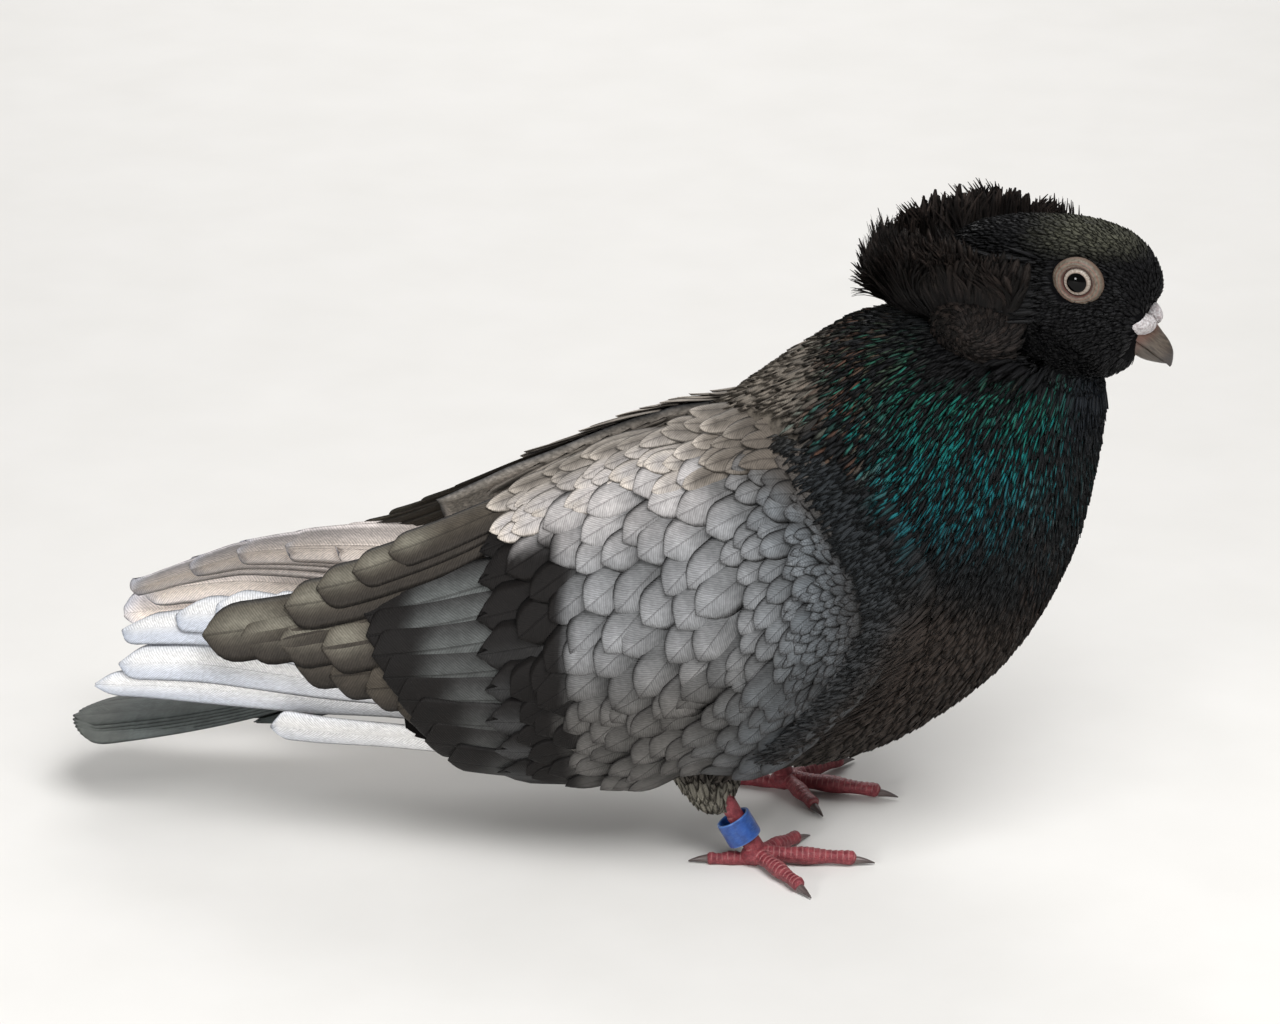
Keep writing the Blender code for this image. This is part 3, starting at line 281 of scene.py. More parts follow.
def mesh_from(name, points, faces, material):
    """A piece from points in mm and an array of quads, or of triangles."""
    faces = np.asarray(faces, np.int32)
    count, corners = faces.shape
    mesh = bpy.data.meshes.new(name)
    mesh.vertices.add(len(points))
    mesh.vertices.foreach_set("co", into_frame(points).astype(np.float32).ravel())
    mesh.loops.add(count * corners)
    mesh.loops.foreach_set("vertex_index", faces.ravel())
    mesh.polygons.add(count)
    mesh.polygons.foreach_set("loop_start", np.arange(0, count * corners, corners, dtype=np.int32))
    mesh.polygons.foreach_set("loop_total", np.full(count, corners, np.int32))
    mesh.polygons.foreach_set("use_smooth", np.full(count, True))
    mesh.update(calc_edges=True)
    mesh.validate()
    made = bpy.data.objects.new(name, mesh)
    bpy.context.scene.collection.objects.link(made)
    if material:
        mesh.materials.append(material)
    return made


def store(mesh, name, kind, values):
    """Keeps values for each point under a name that materials can read."""
    attribute = mesh.attributes.new(name, kind, "POINT")
    values = np.asarray(values, np.float32)
    field = {"FLOAT": "value", "FLOAT_VECTOR": "vector", "FLOAT_COLOR": "color"}[kind]
    if kind == "FLOAT_COLOR":
        values = np.concatenate([values, np.ones((len(values), 1), np.float32)], 1)
    attribute.data.foreach_set(field, values.ravel())


def grid_faces(rows, columns, looped=False):
    """Quads over rings of points. Where they are looped, the last ring joins the first."""
    i, j = np.meshgrid(np.arange(rows if looped else rows - 1), np.arange(columns), indexing="ij")
    k, m = (i + 1) % rows, (j + 1) % columns
    quads = [i * columns + j, i * columns + m, k * columns + m, k * columns + j]
    return np.stack(quads, -1).reshape(-1, 4)


def outward(points, faces):
    """The faces, turned round if they look into the closed form."""
    a, b, c = (points[faces[:, i]] for i in range(3))
    volume = dot(a, np.cross(b, c)).sum()
    if faces.shape[1] == 4:
        volume += dot(a, np.cross(c, points[faces[:, 3]])).sum()
    return faces[:, ::-1] if volume < 0 else faces


def loft_arrays(rings):
    """Points and quads of a closed form over rings of equal count, its ends closed by small rings."""
    count, around = rings.shape[:2]
    ends = [rings[end].mean(0) + (rings[end] - rings[end].mean(0)) * 0.02 for end in (0, -1)]
    rings = np.concatenate([ends[0][None], rings, ends[1][None]])
    points = rings.reshape(-1, 3)
    faces = grid_faces(count + 2, around)
    cap = np.arange(around // 2 - 1)
    for base, flip in ((0, False), ((count + 1) * around, True)):
        quads = np.stack([base + cap, base + cap + 1, base + around - 2 - cap, base + around - 1 - cap], 1)
        faces = np.concatenate([faces, quads if flip else quads[:, ::-1]])
    return points, outward(points, faces)


def merged(parts):
    """Several (points, faces) pairs as one."""
    points, faces, start = [], [], 0
    for one_points, one_faces in parts:
        points.append(one_points)
        faces.append(one_faces + start)
        start += len(one_points)
    return np.concatenate(points), np.concatenate(faces)


def with_ends(values):
    """Values for all points of a loft, its closed ends like the rings next to them."""
    return np.concatenate([values[:1], values, values[-1:]]).reshape(-1, 3)


def stand_in(piece, slot, *nodes):
    """Gives a piece the body it rides on, and hides the solids it stands for. The slot for its finish is
    not used.
    """
    if nodes:
        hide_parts(*nodes)
    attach(piece, BODY)


def build_part(name, arrays, look, slot, node, **values):
    """A piece that stands for one solid, with the vectors that its material reads."""
    made = mesh_from(name, *arrays, look)
    for key, vectors in values.items():
        store(made.data, key, "FLOAT_VECTOR", vectors)
    stand_in(made, slot, node)


# Materials


def rgb(red, green, blue):
    """A colour named by its screen values from 0 to 255, as linear light."""
    value = np.array([red, green, blue]) / 255
    return np.where(value <= 0.04045, value / 12.92, ((value + 0.055) / 1.055) ** 2.4)


class Nodes:
    """A material with its shader, and short ways to add the nodes that feed it."""

    def __init__(self, name, roughness=0.6, **settings):
        self.material = bpy.data.materials.new(name)
        self.material.use_nodes = True
        self.tree = self.material.node_tree
        self.shader = self.tree.nodes["Principled BSDF"]
        self.shader.inputs["Roughness"].default_value = roughness
        for key, value in settings.items():
            self.shader.inputs[key.replace("_", " ").title().replace("Ior", "IOR")].default_value = value
        self.at = self.tree.nodes.new("ShaderNodeTexCoord").outputs["Object"]

    def link(self, source, socket):
        if isinstance(source, (int, float)):
            socket.default_value = source
        elif isinstance(source, np.ndarray):
            socket.default_value = (*source, 1.0)[: len(socket.default_value)]
        else:
            self.tree.links.new(source, socket)

    def add(self, kind, sources, **settings):
        """The outputs of a new node. Sources feed its inputs, by their number or name."""
        node = self.tree.nodes.new("ShaderNode" + kind)
        for key, value in settings.items():
            setattr(node, key, value)
        for key, source in sources.items():
            self.link(source, node.inputs[key])
        return node.outputs

    def attribute(self, name, output="Fac"):
        return self.add("Attribute", {}, attribute_name=name)[output]

    def parts(self, name):
        """The three numbers of an attribute."""
        return self.add("SeparateXYZ", {0: self.attribute(name, "Vector")})

    def math(self, operation, a, b=0.0):
        return self.add("Math", {0: a, 1: b}, operation=operation)[0]

    def plus(self, a, b):
        return self.math("ADD", a, b)

    def times(self, a, b):
        return self.math("MULTIPLY", a, b)

    def ramp(self, value, low, high, to_low=0.0, to_high=1.0):
        sources = dict(enumerate((value, low, high, to_low, to_high)))
        return self.add("MapRange", sources, interpolation_type="SMOOTHSTEP")[0]

    def mix(self, share, a, b, blend="MIX"):
        return self.add("Mix", {"Factor": share, 6: a, 7: b}, data_type="RGBA", blend_type=blend)[2]

    def shaded(self, base, shade):
        """A colour made lighter or darker by a number."""
        return self.mix(1.0, base, self.combine(shade, shade, shade), "MULTIPLY")

    def noise(self, scale, detail=3.0, at=None):
        return self.add("TexNoise", {"Vector": at or self.at, "Scale": scale, "Detail": detail})["Fac"]

    def cells(self, scale):
        """Distance from the borders between small cells."""
        sources = {"Vector": self.at, "Scale": scale}
        return self.add("TexVoronoi", sources, feature="DISTANCE_TO_EDGE")["Distance"]

    def combine(self, x, y, z):
        return self.add("CombineXYZ", {0: x, 1: y, 2: z})[0]

    def bump(self, height, distance):
        """Distance in mm."""
        made = self.add("Bump", {"Height": height, "Distance": distance * MM, "Strength": 1.0})
        self.link(made[0], self.shader.inputs["Normal"])

    def colour(self, source):
        self.link(source, self.shader.inputs["Base Color"])


BARB_SLANT = -0.9
RIM_SHADE = rgb(96, 90, 88)
SHAFT_SHADE = rgb(96, 88, 86)


def vane_material(name, barb, rim_width, rim_dark, shaft_width, shaft_dark, roughness, depth, mottle):
    """Feather look: tint, barbs that slant out to the edge, a shaft and a darker rim. Sizes in mm."""
    look = Nodes(name, roughness, specular_ior_level=0.2)
    border, shaft, along = look.parts("vane")
    off = look.math("ABSOLUTE", shaft)
    slanted = look.plus(along, look.times(off, BARB_SLANT))
    streak = look.noise(1.0, 2.0, look.combine(look.times(slanted, 1.0 / barb), shaft, 0.0))
    wave = look.math("SINE", look.times(slanted, 2 * math.pi / barb))
    barbs = look.plus(look.times(wave, 0.18), streak)
    base = look.shaded(look.attribute("tint", "Color"), look.ramp(barbs, 0.2, 0.9, 0.74, 1.2))
    base = look.shaded(base, look.ramp(look.noise(260.0), 0.3, 0.7, 1 - mottle, 1 + mottle))
    worn = look.times(look.math("SUBTRACT", look.noise(900.0, 2.0), 0.5), rim_width * 1.2)
    rim = look.ramp(look.plus(border, worn), 0.0, rim_width, rim_dark, 0.0)
    base = look.mix(rim, base, look.mix(1.0, base, RIM_SHADE, "MULTIPLY"))
    if shaft_dark:
        line = look.ramp(off, shaft_width * 0.4, shaft_width, shaft_dark, 0.0)
        line = look.times(line, look.ramp(border, 0.0, shaft_width * 3))
        base = look.mix(line, base, look.mix(1.0, base, SHAFT_SHADE, "MULTIPLY"))
    look.colour(base)
    look.link(look.attribute("gloss"), look.shader.inputs["Metallic"])
    look.bump(look.plus(barbs, look.ramp(off, 0.0, shaft_width, 1.2, 0.0)), depth)
    return look.material


def skin_material():
    look = Nodes("skin", 0.9, specular_ior_level=0.05)
    streak = look.ramp(look.noise(900.0, 4.0), 0.3, 0.7, 0.6, 1.1)
    look.colour(look.shaded(look.attribute("tint", "Color"), streak))
    look.bump(look.noise(1500.0, 3.0), 0.25)
    return look.material


def eye_material():
    """Pupil, pearl iris with fine rays, and a dark outer line, by distance from the eye's own axis. The
    outer line is partly the iris's own edge, partly painted shade under the lid.
    """
    look = Nodes("eye_pearl", 0.4, coat_weight=0.3, coat_roughness=0.02, specular_ior_level=0.0)
    away, angle, _ = look.parts("iris")
    rays = look.noise(1.0, 3.0, look.combine(look.times(angle, 9.0), away, 0.0))
    pearl = look.mix(look.ramp(rays, 0.3, 0.7), rgb(140, 130, 119), rgb(182, 172, 162))
    pearl = look.mix(look.ramp(away, 2.45, 2.85, 0.6, 0.0), pearl, rgb(110, 92, 82))
    # Dark line at the iris's edge: partly its own colour, partly painted shade under the lid
    pearl = look.mix(look.ramp(away, 3.15, 3.5, 0.0, 0.95), pearl, rgb(40, 28, 25))
    look.colour(look.mix(look.ramp(away, 2.33, 2.47, 1.0, 0.0), pearl, rgb(2, 2, 2)))
    return look.material


def ring_material():
    """Bare skin round the eye: pale folds with reddish lines between them."""
    look = Nodes("eye_ring_skin", 0.55)
    across, _, _ = look.parts("iris")
    wobble = look.times(look.noise(900.0, 2.0), 1.6)
    folds = look.math("SINE", look.plus(look.times(across, 20.0), wobble))
    pale = look.mix(look.ramp(look.noise(1400.0, 3.0), 0.3, 0.7), rgb(80, 72, 62), rgb(110, 101, 88))
    base = look.mix(look.ramp(folds, 0.2, 1.0, 0.0, 0.7), pale, rgb(112, 74, 62))
    base = look.mix(look.ramp(across, 0.8, 1.0, 0.0, 0.7), base, rgb(92, 80, 68))
    look.colour(look.mix(look.ramp(across, 0.06, 0.3, 0.9, 0.0), base, rgb(74, 42, 36)))
    look.bump(look.plus(look.noise(3000.0, 3.0), look.times(folds, -0.6)), 0.12)
    return look.material


def horn_material():
    """Bill: reddish at the root, grey-brown horn, dark at the tip."""
    look = Nodes("bill_horn", 0.42, coat_weight=0.25, coat_roughness=0.3)
    share, over, _ = look.parts("along")
    drawn = look.combine(look.times(share, 5.0), look.times(over, 16.0), 0.0)
    grain = look.noise(1.0, 4.0, drawn)
    base = look.mix(look.ramp(grain, 0.3, 0.75), rgb(58, 50, 43), rgb(94, 84, 74))
    base = look.mix(look.ramp(share, 0.02, 0.42, 0.75, 0.0), base, rgb(112, 68, 54))
    base = look.mix(look.ramp(share, 0.55, 0.95, 0.0, 0.9), base, rgb(40, 34, 34))
    look.colour(base)
    look.bump(look.plus(grain, look.noise(2600.0, 3.0)), 0.06)
    return look.material


def cere_material():
    look = Nodes("cere_skin", 0.85)
    pits = look.noise(1500.0, 4.0)
    base = look.mix(look.ramp(pits, 0.35, 0.65), rgb(158, 153, 154), rgb(202, 199, 200))
    creases = look.cells(700.0)
    look.colour(look.mix(look.ramp(creases, 0.0, 0.12, 0.35, 0.0), base, rgb(160, 138, 138)))
    look.bump(look.plus(pits, look.ramp(creases, 0.0, 0.2, 0.0, 0.6)), 0.14)
    return look.material


def leg_material():
    """Crimson scutes with paler edges, by distance along the toe."""
    look = Nodes("leg_scales", 0.5, coat_weight=0.1, coat_roughness=0.4)
    scute, over, _ = look.parts("along")
    mottled = look.ramp(look.noise(700.0, 4.0), 0.3, 0.7)
    base = look.mix(mottled, rgb(112, 34, 44), rgb(152, 66, 72))
    edge = look.ramp(look.math("FRACT", scute), 0.72, 0.98, 0.0, 0.75)
    top = look.ramp(over, -0.1, 0.4)
    base = look.mix(look.times(edge, top), base, rgb(172, 116, 114))
    grains = look.cells(1900.0)
    net = look.times(look.ramp(grains, 0.0, 0.16, 0.5, 0.0), look.ramp(over, 0.5, 0.0))
    look.colour(look.mix(net, base, rgb(96, 26, 36)))
    look.bump(look.plus(look.ramp(grains, 0.0, 0.25), look.noise(1500.0, 3.0)), 0.1)
    return look.material


def claw_material():
    look = Nodes("claw_horn", 0.4, coat_weight=0.2)
    share, over, _ = look.parts("along")
    streaks = look.noise(1.0, 3.0, look.combine(share, look.times(over, 12.0), 0.0))
    base = look.mix(look.ramp(streaks, 0.3, 0.7), rgb(70, 58, 58), rgb(112, 98, 94))
    look.colour(look.mix(look.ramp(share, 0.0, 1.0, 0.0, 0.6), base, rgb(40, 32, 32)))
    look.bump(streaks, 0.04)
    return look.material


def band_material():
    """Blue closed ring, a little scratched and worn paler on its rims."""
    look = Nodes("leg_band_plastic", 0.34, coat_weight=0.3, coat_roughness=0.15)
    rim, turn, _ = look.parts("along")
    stretched = look.combine(look.times(turn, 2.0), look.times(rim, 30.0), 0.0)
    scratches = look.ramp(look.noise(1.0, 5.0, stretched), 0.55, 0.75)
    base = look.mix(look.ramp(look.noise(500.0, 3.0), 0.3, 0.7), rgb(22, 58, 122), rgb(34, 78, 152))
    base = look.mix(look.times(scratches, 0.35), base, rgb(120, 168, 220))
    look.colour(look.mix(look.ramp(rim, 0.86, 1.0, 0.0, 0.5), base, rgb(96, 142, 208)))
    look.bump(scratches, -0.03)
    return look.material


# Markings and painted sheen, alike on skin and coat

STREAKS = (
    # Height, then the colour of the streaks at that height: the neck's own iridescence, partly painted
    # sheen
    (70, rgb(72, 54, 46)),
    (88, rgb(28, 100, 112)),
    (104, rgb(24, 124, 130)),
    (120, rgb(22, 120, 108)),
    (134, rgb(48, 106, 84)),
    (142, rgb(72, 72, 58)),
)
NECK_BLACK = rgb(20, 22, 24)
THROAT = rgb(18, 23, 29)
HEAD_BLACK = rgb(15, 15, 17)
# Olive-grey painted sheen on the top of the black head
CROWN_SHEEN = rgb(92, 92, 78)
BRONZE = rgb(98, 70, 56)
BREAST = rgb(50, 42, 37)
BELLY = rgb(62, 57, 53)
BACK = rgb(122, 114, 104)
RUMP = rgb(120, 120, 118)
TARSUS = rgb(112, 108, 98)


def blend(share, first, second):
    return first + (second - first) * np.asarray(share)[..., None]


def coat_tint(points, random, on_head):
    """Colour of the coat, colour of the streak down the middle of a feather, and how strong that is. The
    teal and green streaks are the neck's own iridescence and partly painted sheen.
    """
    x, y, z = points.T
    side = np.abs(y)
    head = from_head(points)
    jitter = random.normal(0, 1, len(points))
    chance = random.random(len(points))
    tint = np.repeat(BREAST[None], len(points), 0)
    tint = blend(smooth(44, 26, z) * smooth(40, 5, x), tint, BELLY)
    tint = blend(smooth(24, 17, z) * smooth(20, 12, x), tint, TARSUS)
    tint = blend(smooth(78, 98, z + x * 0.35), tint, NECK_BLACK)
    tint = blend(smooth(70, 78, x) * smooth(104, 118, z), tint, THROAT)
    heights = [row[0] for row in STREAKS]
    level = z + jitter * 4
    streak = np.stack([np.interp(level, heights, [row[1][k] for row in STREAKS]) for k in range(3)], 1)
    # Where the teal and green streaks show on the neck's sides: partly painted sheen
    sheen_mask = smooth(6, 17, side) * smooth(78, 100, z) * smooth(144, 130, z)
    sheen_mask = sheen_mask * smooth(8, 20, x + jitter * 3) * smooth(77, 66, x + jitter * 2)
    rear = smooth(34, 20, x) * smooth(94, 110, z)
    front = smooth(56, 70, x) * smooth(112, 92, z) * 0.6
    bronze = np.clip(rear + front, 0, 1)
    streak = blend(bronze * smooth(0.2, 0.6, random.random(len(points))), streak, BRONZE)
    strength = np.maximum(sheen_mask * smooth(0.42, 0.72, chance), bronze * smooth(0.5, 0.8, chance) * 0.8)
    back = smooth(18, 2, x + jitter * 2 + 0.4 * (125 - z).clip(0)) * smooth(84, 98, z)
    tint = blend(back * (0.75 + 0.25 * chance), tint, BACK)
    tint = blend(smooth(-45, -60, x), tint, RUMP)
    tint = blend(on_head, tint, HEAD_BLACK)
    # The top of the crown painted olive-grey: painted sheen
    crown = smooth(60, 76, head[:, 0]) * smooth(159, 165.5, head[:, 2]) * on_head
    tint = blend(crown * (0.35 + 0.5 * chance), tint, CROWN_SHEEN)
    tint *= (1 + 0.1 * jitter)[:, None].clip(0.6, 1.6)
    pale = np.maximum(strength * (1 - on_head) * (1 - back), 0)
    return tint.clip(0, 1), streak, pale


# Feathers as closed leaves: a grid of points above, and one below that shares its border

PATCH = 0.003


def leaf_faces(rows, columns):
    above = np.arange(rows * columns).reshape(rows, columns)
    below = above.copy()
    below[1:-1, 1:-1] = rows * columns + np.arange((rows - 2) * (columns - 2)).reshape(rows - 2, -1)
    faces = []
    for grid, turned in ((above, True), (below, False)):
        quads = np.stack([grid[:-1, :-1], grid[:-1, 1:], grid[1:, 1:], grid[1:, :-1]], -1).reshape(-1, 4)
        faces.append(quads[:, ::-1] if turned else quads)
    return np.concatenate(faces)


def leaves(grid, normals, half, length, steps, thick, tint, gloss, place, mirrored=False):
    """Feathers of one grid size. Place is each one's corner and size on the unwrapped skin."""
    count, rows, columns = grid.shape[:3]
    inner = (slice(None), slice(1, -1), slice(1, -1))
    sunk = grid[inner] - normals[inner] * np.reshape(thick, (-1, 1, 1, 1))
    v = np.broadcast_to(np.linspace(-1, 1, columns), (count, rows, columns))
    t = np.broadcast_to(np.asarray(steps)[None, :, None], (count, rows, columns))
    half = np.broadcast_to(half[..., None], v.shape)
    length = np.reshape(length, (-1, 1, 1))
    border = np.minimum(half * (1 - np.abs(v)), (1 - t) * length)
    vane = np.stack([border, half * v, t * length + 0 * v], -1)
    spread = np.stack([(v + 1) / 2, t], -1)
    bake = place[:, None, None, :2] + spread * place[:, None, None, 2:]

    def both(values):
        width = values.shape[-1]
        stacked = [values.reshape(count, -1, width), values[inner].reshape(count, -1, width)]
        return np.concatenate(stacked, 1).reshape(-1, width)

    points = np.concatenate([grid.reshape(count, -1, 3), sunk.reshape(count, -1, 3)], 1)
    faces = leaf_faces(rows, columns)
    faces = faces[:, ::-1] if mirrored else faces
    faces = (faces[None] + (np.arange(count) * points.shape[1])[:, None, None]).reshape(-1, 4)
    gloss = np.broadcast_to(np.reshape(gloss, (count, -1))[:, :1, None], (count, rows, columns))[..., None]
    tint = np.broadcast_to(tint if tint.ndim == 4 else tint[:, None, None], (count, rows, columns, 3))
    return {
        "points": points.reshape(-1, 3), "faces": faces, "vane": both(vane), "tint": both(tint),
        "gloss": both(gloss), "feather": both(spread), "bake": both(bake),
    }


def leaf_piece(name, sets, material):
    """One mesh of several sets of feathers, with the values its material reads and both UV maps."""
    starts = np.cumsum([0] + [len(one["points"]) for one in sets])
    faces = np.concatenate([one["faces"] + start for one, start in zip(sets, starts)])
    joined = {key: np.concatenate([one[key] for one in sets]) for key in sets[0] if key != "faces"}
    made = mesh_from(name, joined["points"], faces, material)
    for key, kind in (("vane", "FLOAT_VECTOR"), ("tint", "FLOAT_COLOR"), ("gloss", "FLOAT")):
        store(made.data, key, kind, joined[key])
    uv_maps(made.data, joined["feather"], joined["bake"])
    return made


def uv_maps(mesh, feather, bake):
    """A map within each feather, and one of the whole coat for baking."""
    corners = np.empty(len(mesh.loops), np.int32)
    mesh.loops.foreach_get("vertex_index", corners)
    for name, values in (("feather", feather), ("OFBake", bake)):
        layer = mesh.uv_layers.new(name=name)
        layer.uv.foreach_set("vector", values[corners].astype(np.float32).ravel())
    mesh.uv_layers["feather"].active_render = True
    mesh.uv_layers.active = mesh.uv_layers["feather"]


def patches(first, second):
    """A small patch for each feather at its root's place, the places spread over the whole map."""
    spots = np.stack([first, second], 1)
    low, high = spots.min(0), spots.max(0)
    spots = 0.01 + (spots - low) / (high - low) * (0.98 - PATCH)
    return np.concatenate([spots, np.full_like(spots, PATCH)], 1)


def cells_for(count):
    """A cell of its own for each large vane, in the order of the roots."""
    wide = int(math.ceil(math.sqrt(count * 2)))
    high = int(math.ceil(count / wide))
    number = np.arange(count)
    cell = np.stack([number % wide / wide, number // wide / high], 1)
    size = np.broadcast_to([0.92 / wide, 0.94 / high], (count, 2))
    return np.concatenate([0.004 + cell * 0.992, size], 1)


def outline_share(t, root_share, tip_start, blunt=0.93):
    """Half width of a vane along its length, as a share of its widest."""
    rise = np.clip(t / 0.4, 0, 1)
    body = root_share + (1 - root_share) * rise * rise * (3 - 2 * rise)
    past = np.clip((t - tip_start) / (1 - tip_start), 0, 1)
    return body * np.sqrt(1 - blunt * past**2)


def vanes(line, across, ups, half, rise):
    """The upper grid of each feather: its middle line, widened to its half widths and raised by heights."""
    v = np.linspace(-1, 1, rise.shape[-1])
    grid = line[:, :, None] + across[:, :, None] * (half[..., None] * v)[..., None]
    return grid + ups[:, :, None] * rise[..., None]


def crowned(half, share):
    """Heights over a narrow feather of three columns, as a share of its half width."""
    return share * half[..., None] * np.array([0.0, 1.0, 0.0])


# Skin


def thigh_point(at, turn, side):
    rows = through(THIGH, at)
    x = rows[..., 1] + rows[..., 3] * np.cos(turn)
    y = side * (rows[..., 2] + rows[..., 4] * np.sin(turn))
    return triple(x, y, rows[..., 0])


def sunk_form(surface, table, rows, around, depth):
    """The closed form through a table, moved inward by a depth."""
    rings = surface(np.linspace(0, len(table) - 1, rows)[:, None], round_turns(around)[None, :])
    along = np.gradient(rings, axis=0)
    over = np.roll(rings, -1, 1) - np.roll(rings, 1, 1)
    normal = unit(np.cross(along, over))
    if (normal * (rings - rings.mean(1, keepdims=True))).sum() < 0:
        normal = -normal
    return loft_arrays(rings - normal * depth)


def skin_points():
    """The closed forms of trunk, head and thighs, each sunk by the depth of its coat."""
    forms = [sunk_form(trunk_point, TRUNK, 90, 72, COAT), sunk_form(head_point, HEAD, 60, 60, HEAD_COAT)]
    for side in SIDES.values():
        forms.append(sunk_form(lambda at, turn: thigh_point(at, turn, side), THIGH, 24, 32, THIGH_COAT))
    return merged(forms)


def build_skin():
    """One surface over trunk, head and thighs, with no seam."""
    points, faces = skin_points()
    skin = mesh_from("skin", points, faces, None)
    remesh = skin.modifiers.new("union", "REMESH")
    remesh.mode = "VOXEL"
    remesh.voxel_size = SKIN_VOXEL * MM
    even = skin.modifiers.new("even", "SMOOTH")
    even.factor = 0.5
    even.iterations = 5
    bpy.context.view_layer.update()
    mesh = bpy.data.meshes.new_from_object(skin.evaluated_get(bpy.context.evaluated_depsgraph_get()))
    skin.modifiers.clear()
    old, skin.data = skin.data, mesh
    bpy.data.meshes.remove(old)
    mesh.shade_smooth()
    return skin


def mesh_points(mesh):
    """The mesh's points in mm."""
    points = np.empty(len(mesh.vertices) * 3, np.float32)
    mesh.vertices.foreach_get("co", points)
    return points.reshape(-1, 3).astype(float) / MM - SHIFT


def tree_of(thing):
    points = mesh_points(thing.data)
    faces = [tuple(polygon.vertices) for polygon in thing.data.polygons]
    return BVHTree.FromPolygons([tuple(p) for p in points], faces)


def snapped(tree, points):
    """Nearest places on the skin, its normals there and the distances."""
    found = [tree.find_nearest(Vector(p)) for p in points]
    places = np.array([f[0] for f in found])
    normals = np.array([f[1] for f in found])
    return places, normals, np.array([f[3] for f in found])


def head_share(points):
    """1 on the head, 0 on the neck, by places in mm."""
    head = from_head(points)
    edge = head[:, 2] - 128 + np.clip(head[:, 0] - 60, -20, 30) * 0.05
    return smooth(-2, 3, edge) * smooth(36, 42, head[:, 0])


def paint_skin(skin):
    points = mesh_points(skin.data)
    tint, _, _ = coat_tint(points, rng(1), head_share(points))
    # The skin takes the coat's colours, darkened to three quarters: painted shade between the feathers
    store(skin.data, "tint", "FLOAT_COLOR", tint * 0.75)


# Body feathers


def scatter(surface, low, high, along, around, random):
    """Staggered roots at about even distances in mm, shaken, and thinned where rows crowd."""
    fine = np.linspace(low, high, 300)
    turns = np.linspace(-math.pi, math.pi, 97)
    strides = np.linalg.norm(np.diff(surface(fine[:, None], turns[None, :]), axis=0), axis=2)
    reach = np.concatenate([[0], strides.max(1).cumsum()])
    ats, spots = [], []
    for number, gone in enumerate(np.arange(0.5, reach[-1] / along) * along):
        at = np.interp(gone, reach, fine)
        round_it = way_along(surface(np.full(turns.shape, at), turns))
        count = max(3, int(round_it[-1] / around))
        shake = random.uniform(-0.32, 0.32, count)
        place = (np.arange(count) + 0.5 * (number % 2) + shake) % count / count * round_it[-1]
        shaken = gone + random.uniform(-0.4, 0.4, count) * along
        ats.append(np.interp(shaken, reach, fine))
        spots.append(np.interp(place, round_it, turns))
    at, turn = np.concatenate(ats), np.concatenate(spots)
    row = np.clip(np.searchsorted(fine, at) - 1, 0, len(strides) - 1)
    column = np.clip(np.searchsorted(turns, turn) - 1, 0, strides.shape[1] - 1)
    kept = random.random(len(at)) < 0.12 + strides[row, column] / strides[row].max(1)
    return at[kept], turn[kept]


def under_wing(points):
    """True where a folded wing hides the trunk."""
    x, y, z = points.T
    rows = wing_rows(x)
    angle = np.degrees(np.arctan2(np.abs(y) / rows[:, 1], (z - rows[:, 2]) / rows[:, 3]))
    return (angle > rows[:, 4] + 5) & (angle < rows[:, 5] - 9) & (x < 31) & (x > WING_END)


def bare_face(points):
    """True on the eye rings, the bill and the cere."""
    x, y, z = from_head(points).T
    off = np.abs(y)
    away, up = x - EYE_AT[0], z - EYE_AT[1]
    eye = (np.hypot(away, up) < ring_reach(np.arctan2(up, away)) - 0.3) & (off > 7)
    c, s = math.cos(BILL_DOWN), math.sin(BILL_DOWN)
    ahead, up = x - BILL_ROOT[0], z - BILL_ROOT[1]
    bill = (ahead * c - up * s > -3.6) & (np.abs(ahead * s + up * c) < 4.4) & (off < 6.8)
    cere = np.hypot((x - CERE_AT[0]) / 5.4, (z - CERE_AT[2]) / 3.0) < 0.95
    return eye | bill | (cere & (off < 8.0))


FINE_STEPS = np.array([0.0, 0.4, 0.75, 1.0])
FINE_THICK = 0.14
STREAK_ALONG = [0.0, 0.9, 1.0, 0.45]
STREAK_ACROSS = [0.0, 1.0, 0.0]
STREAK_GLOSS = 0.25


def fine_halves(width, root_share=0.55):
    """Half widths of small feathers along their length."""
    return outline_share(FINE_STEPS, root_share, 0.45)[None, :] * width[:, None] / 2


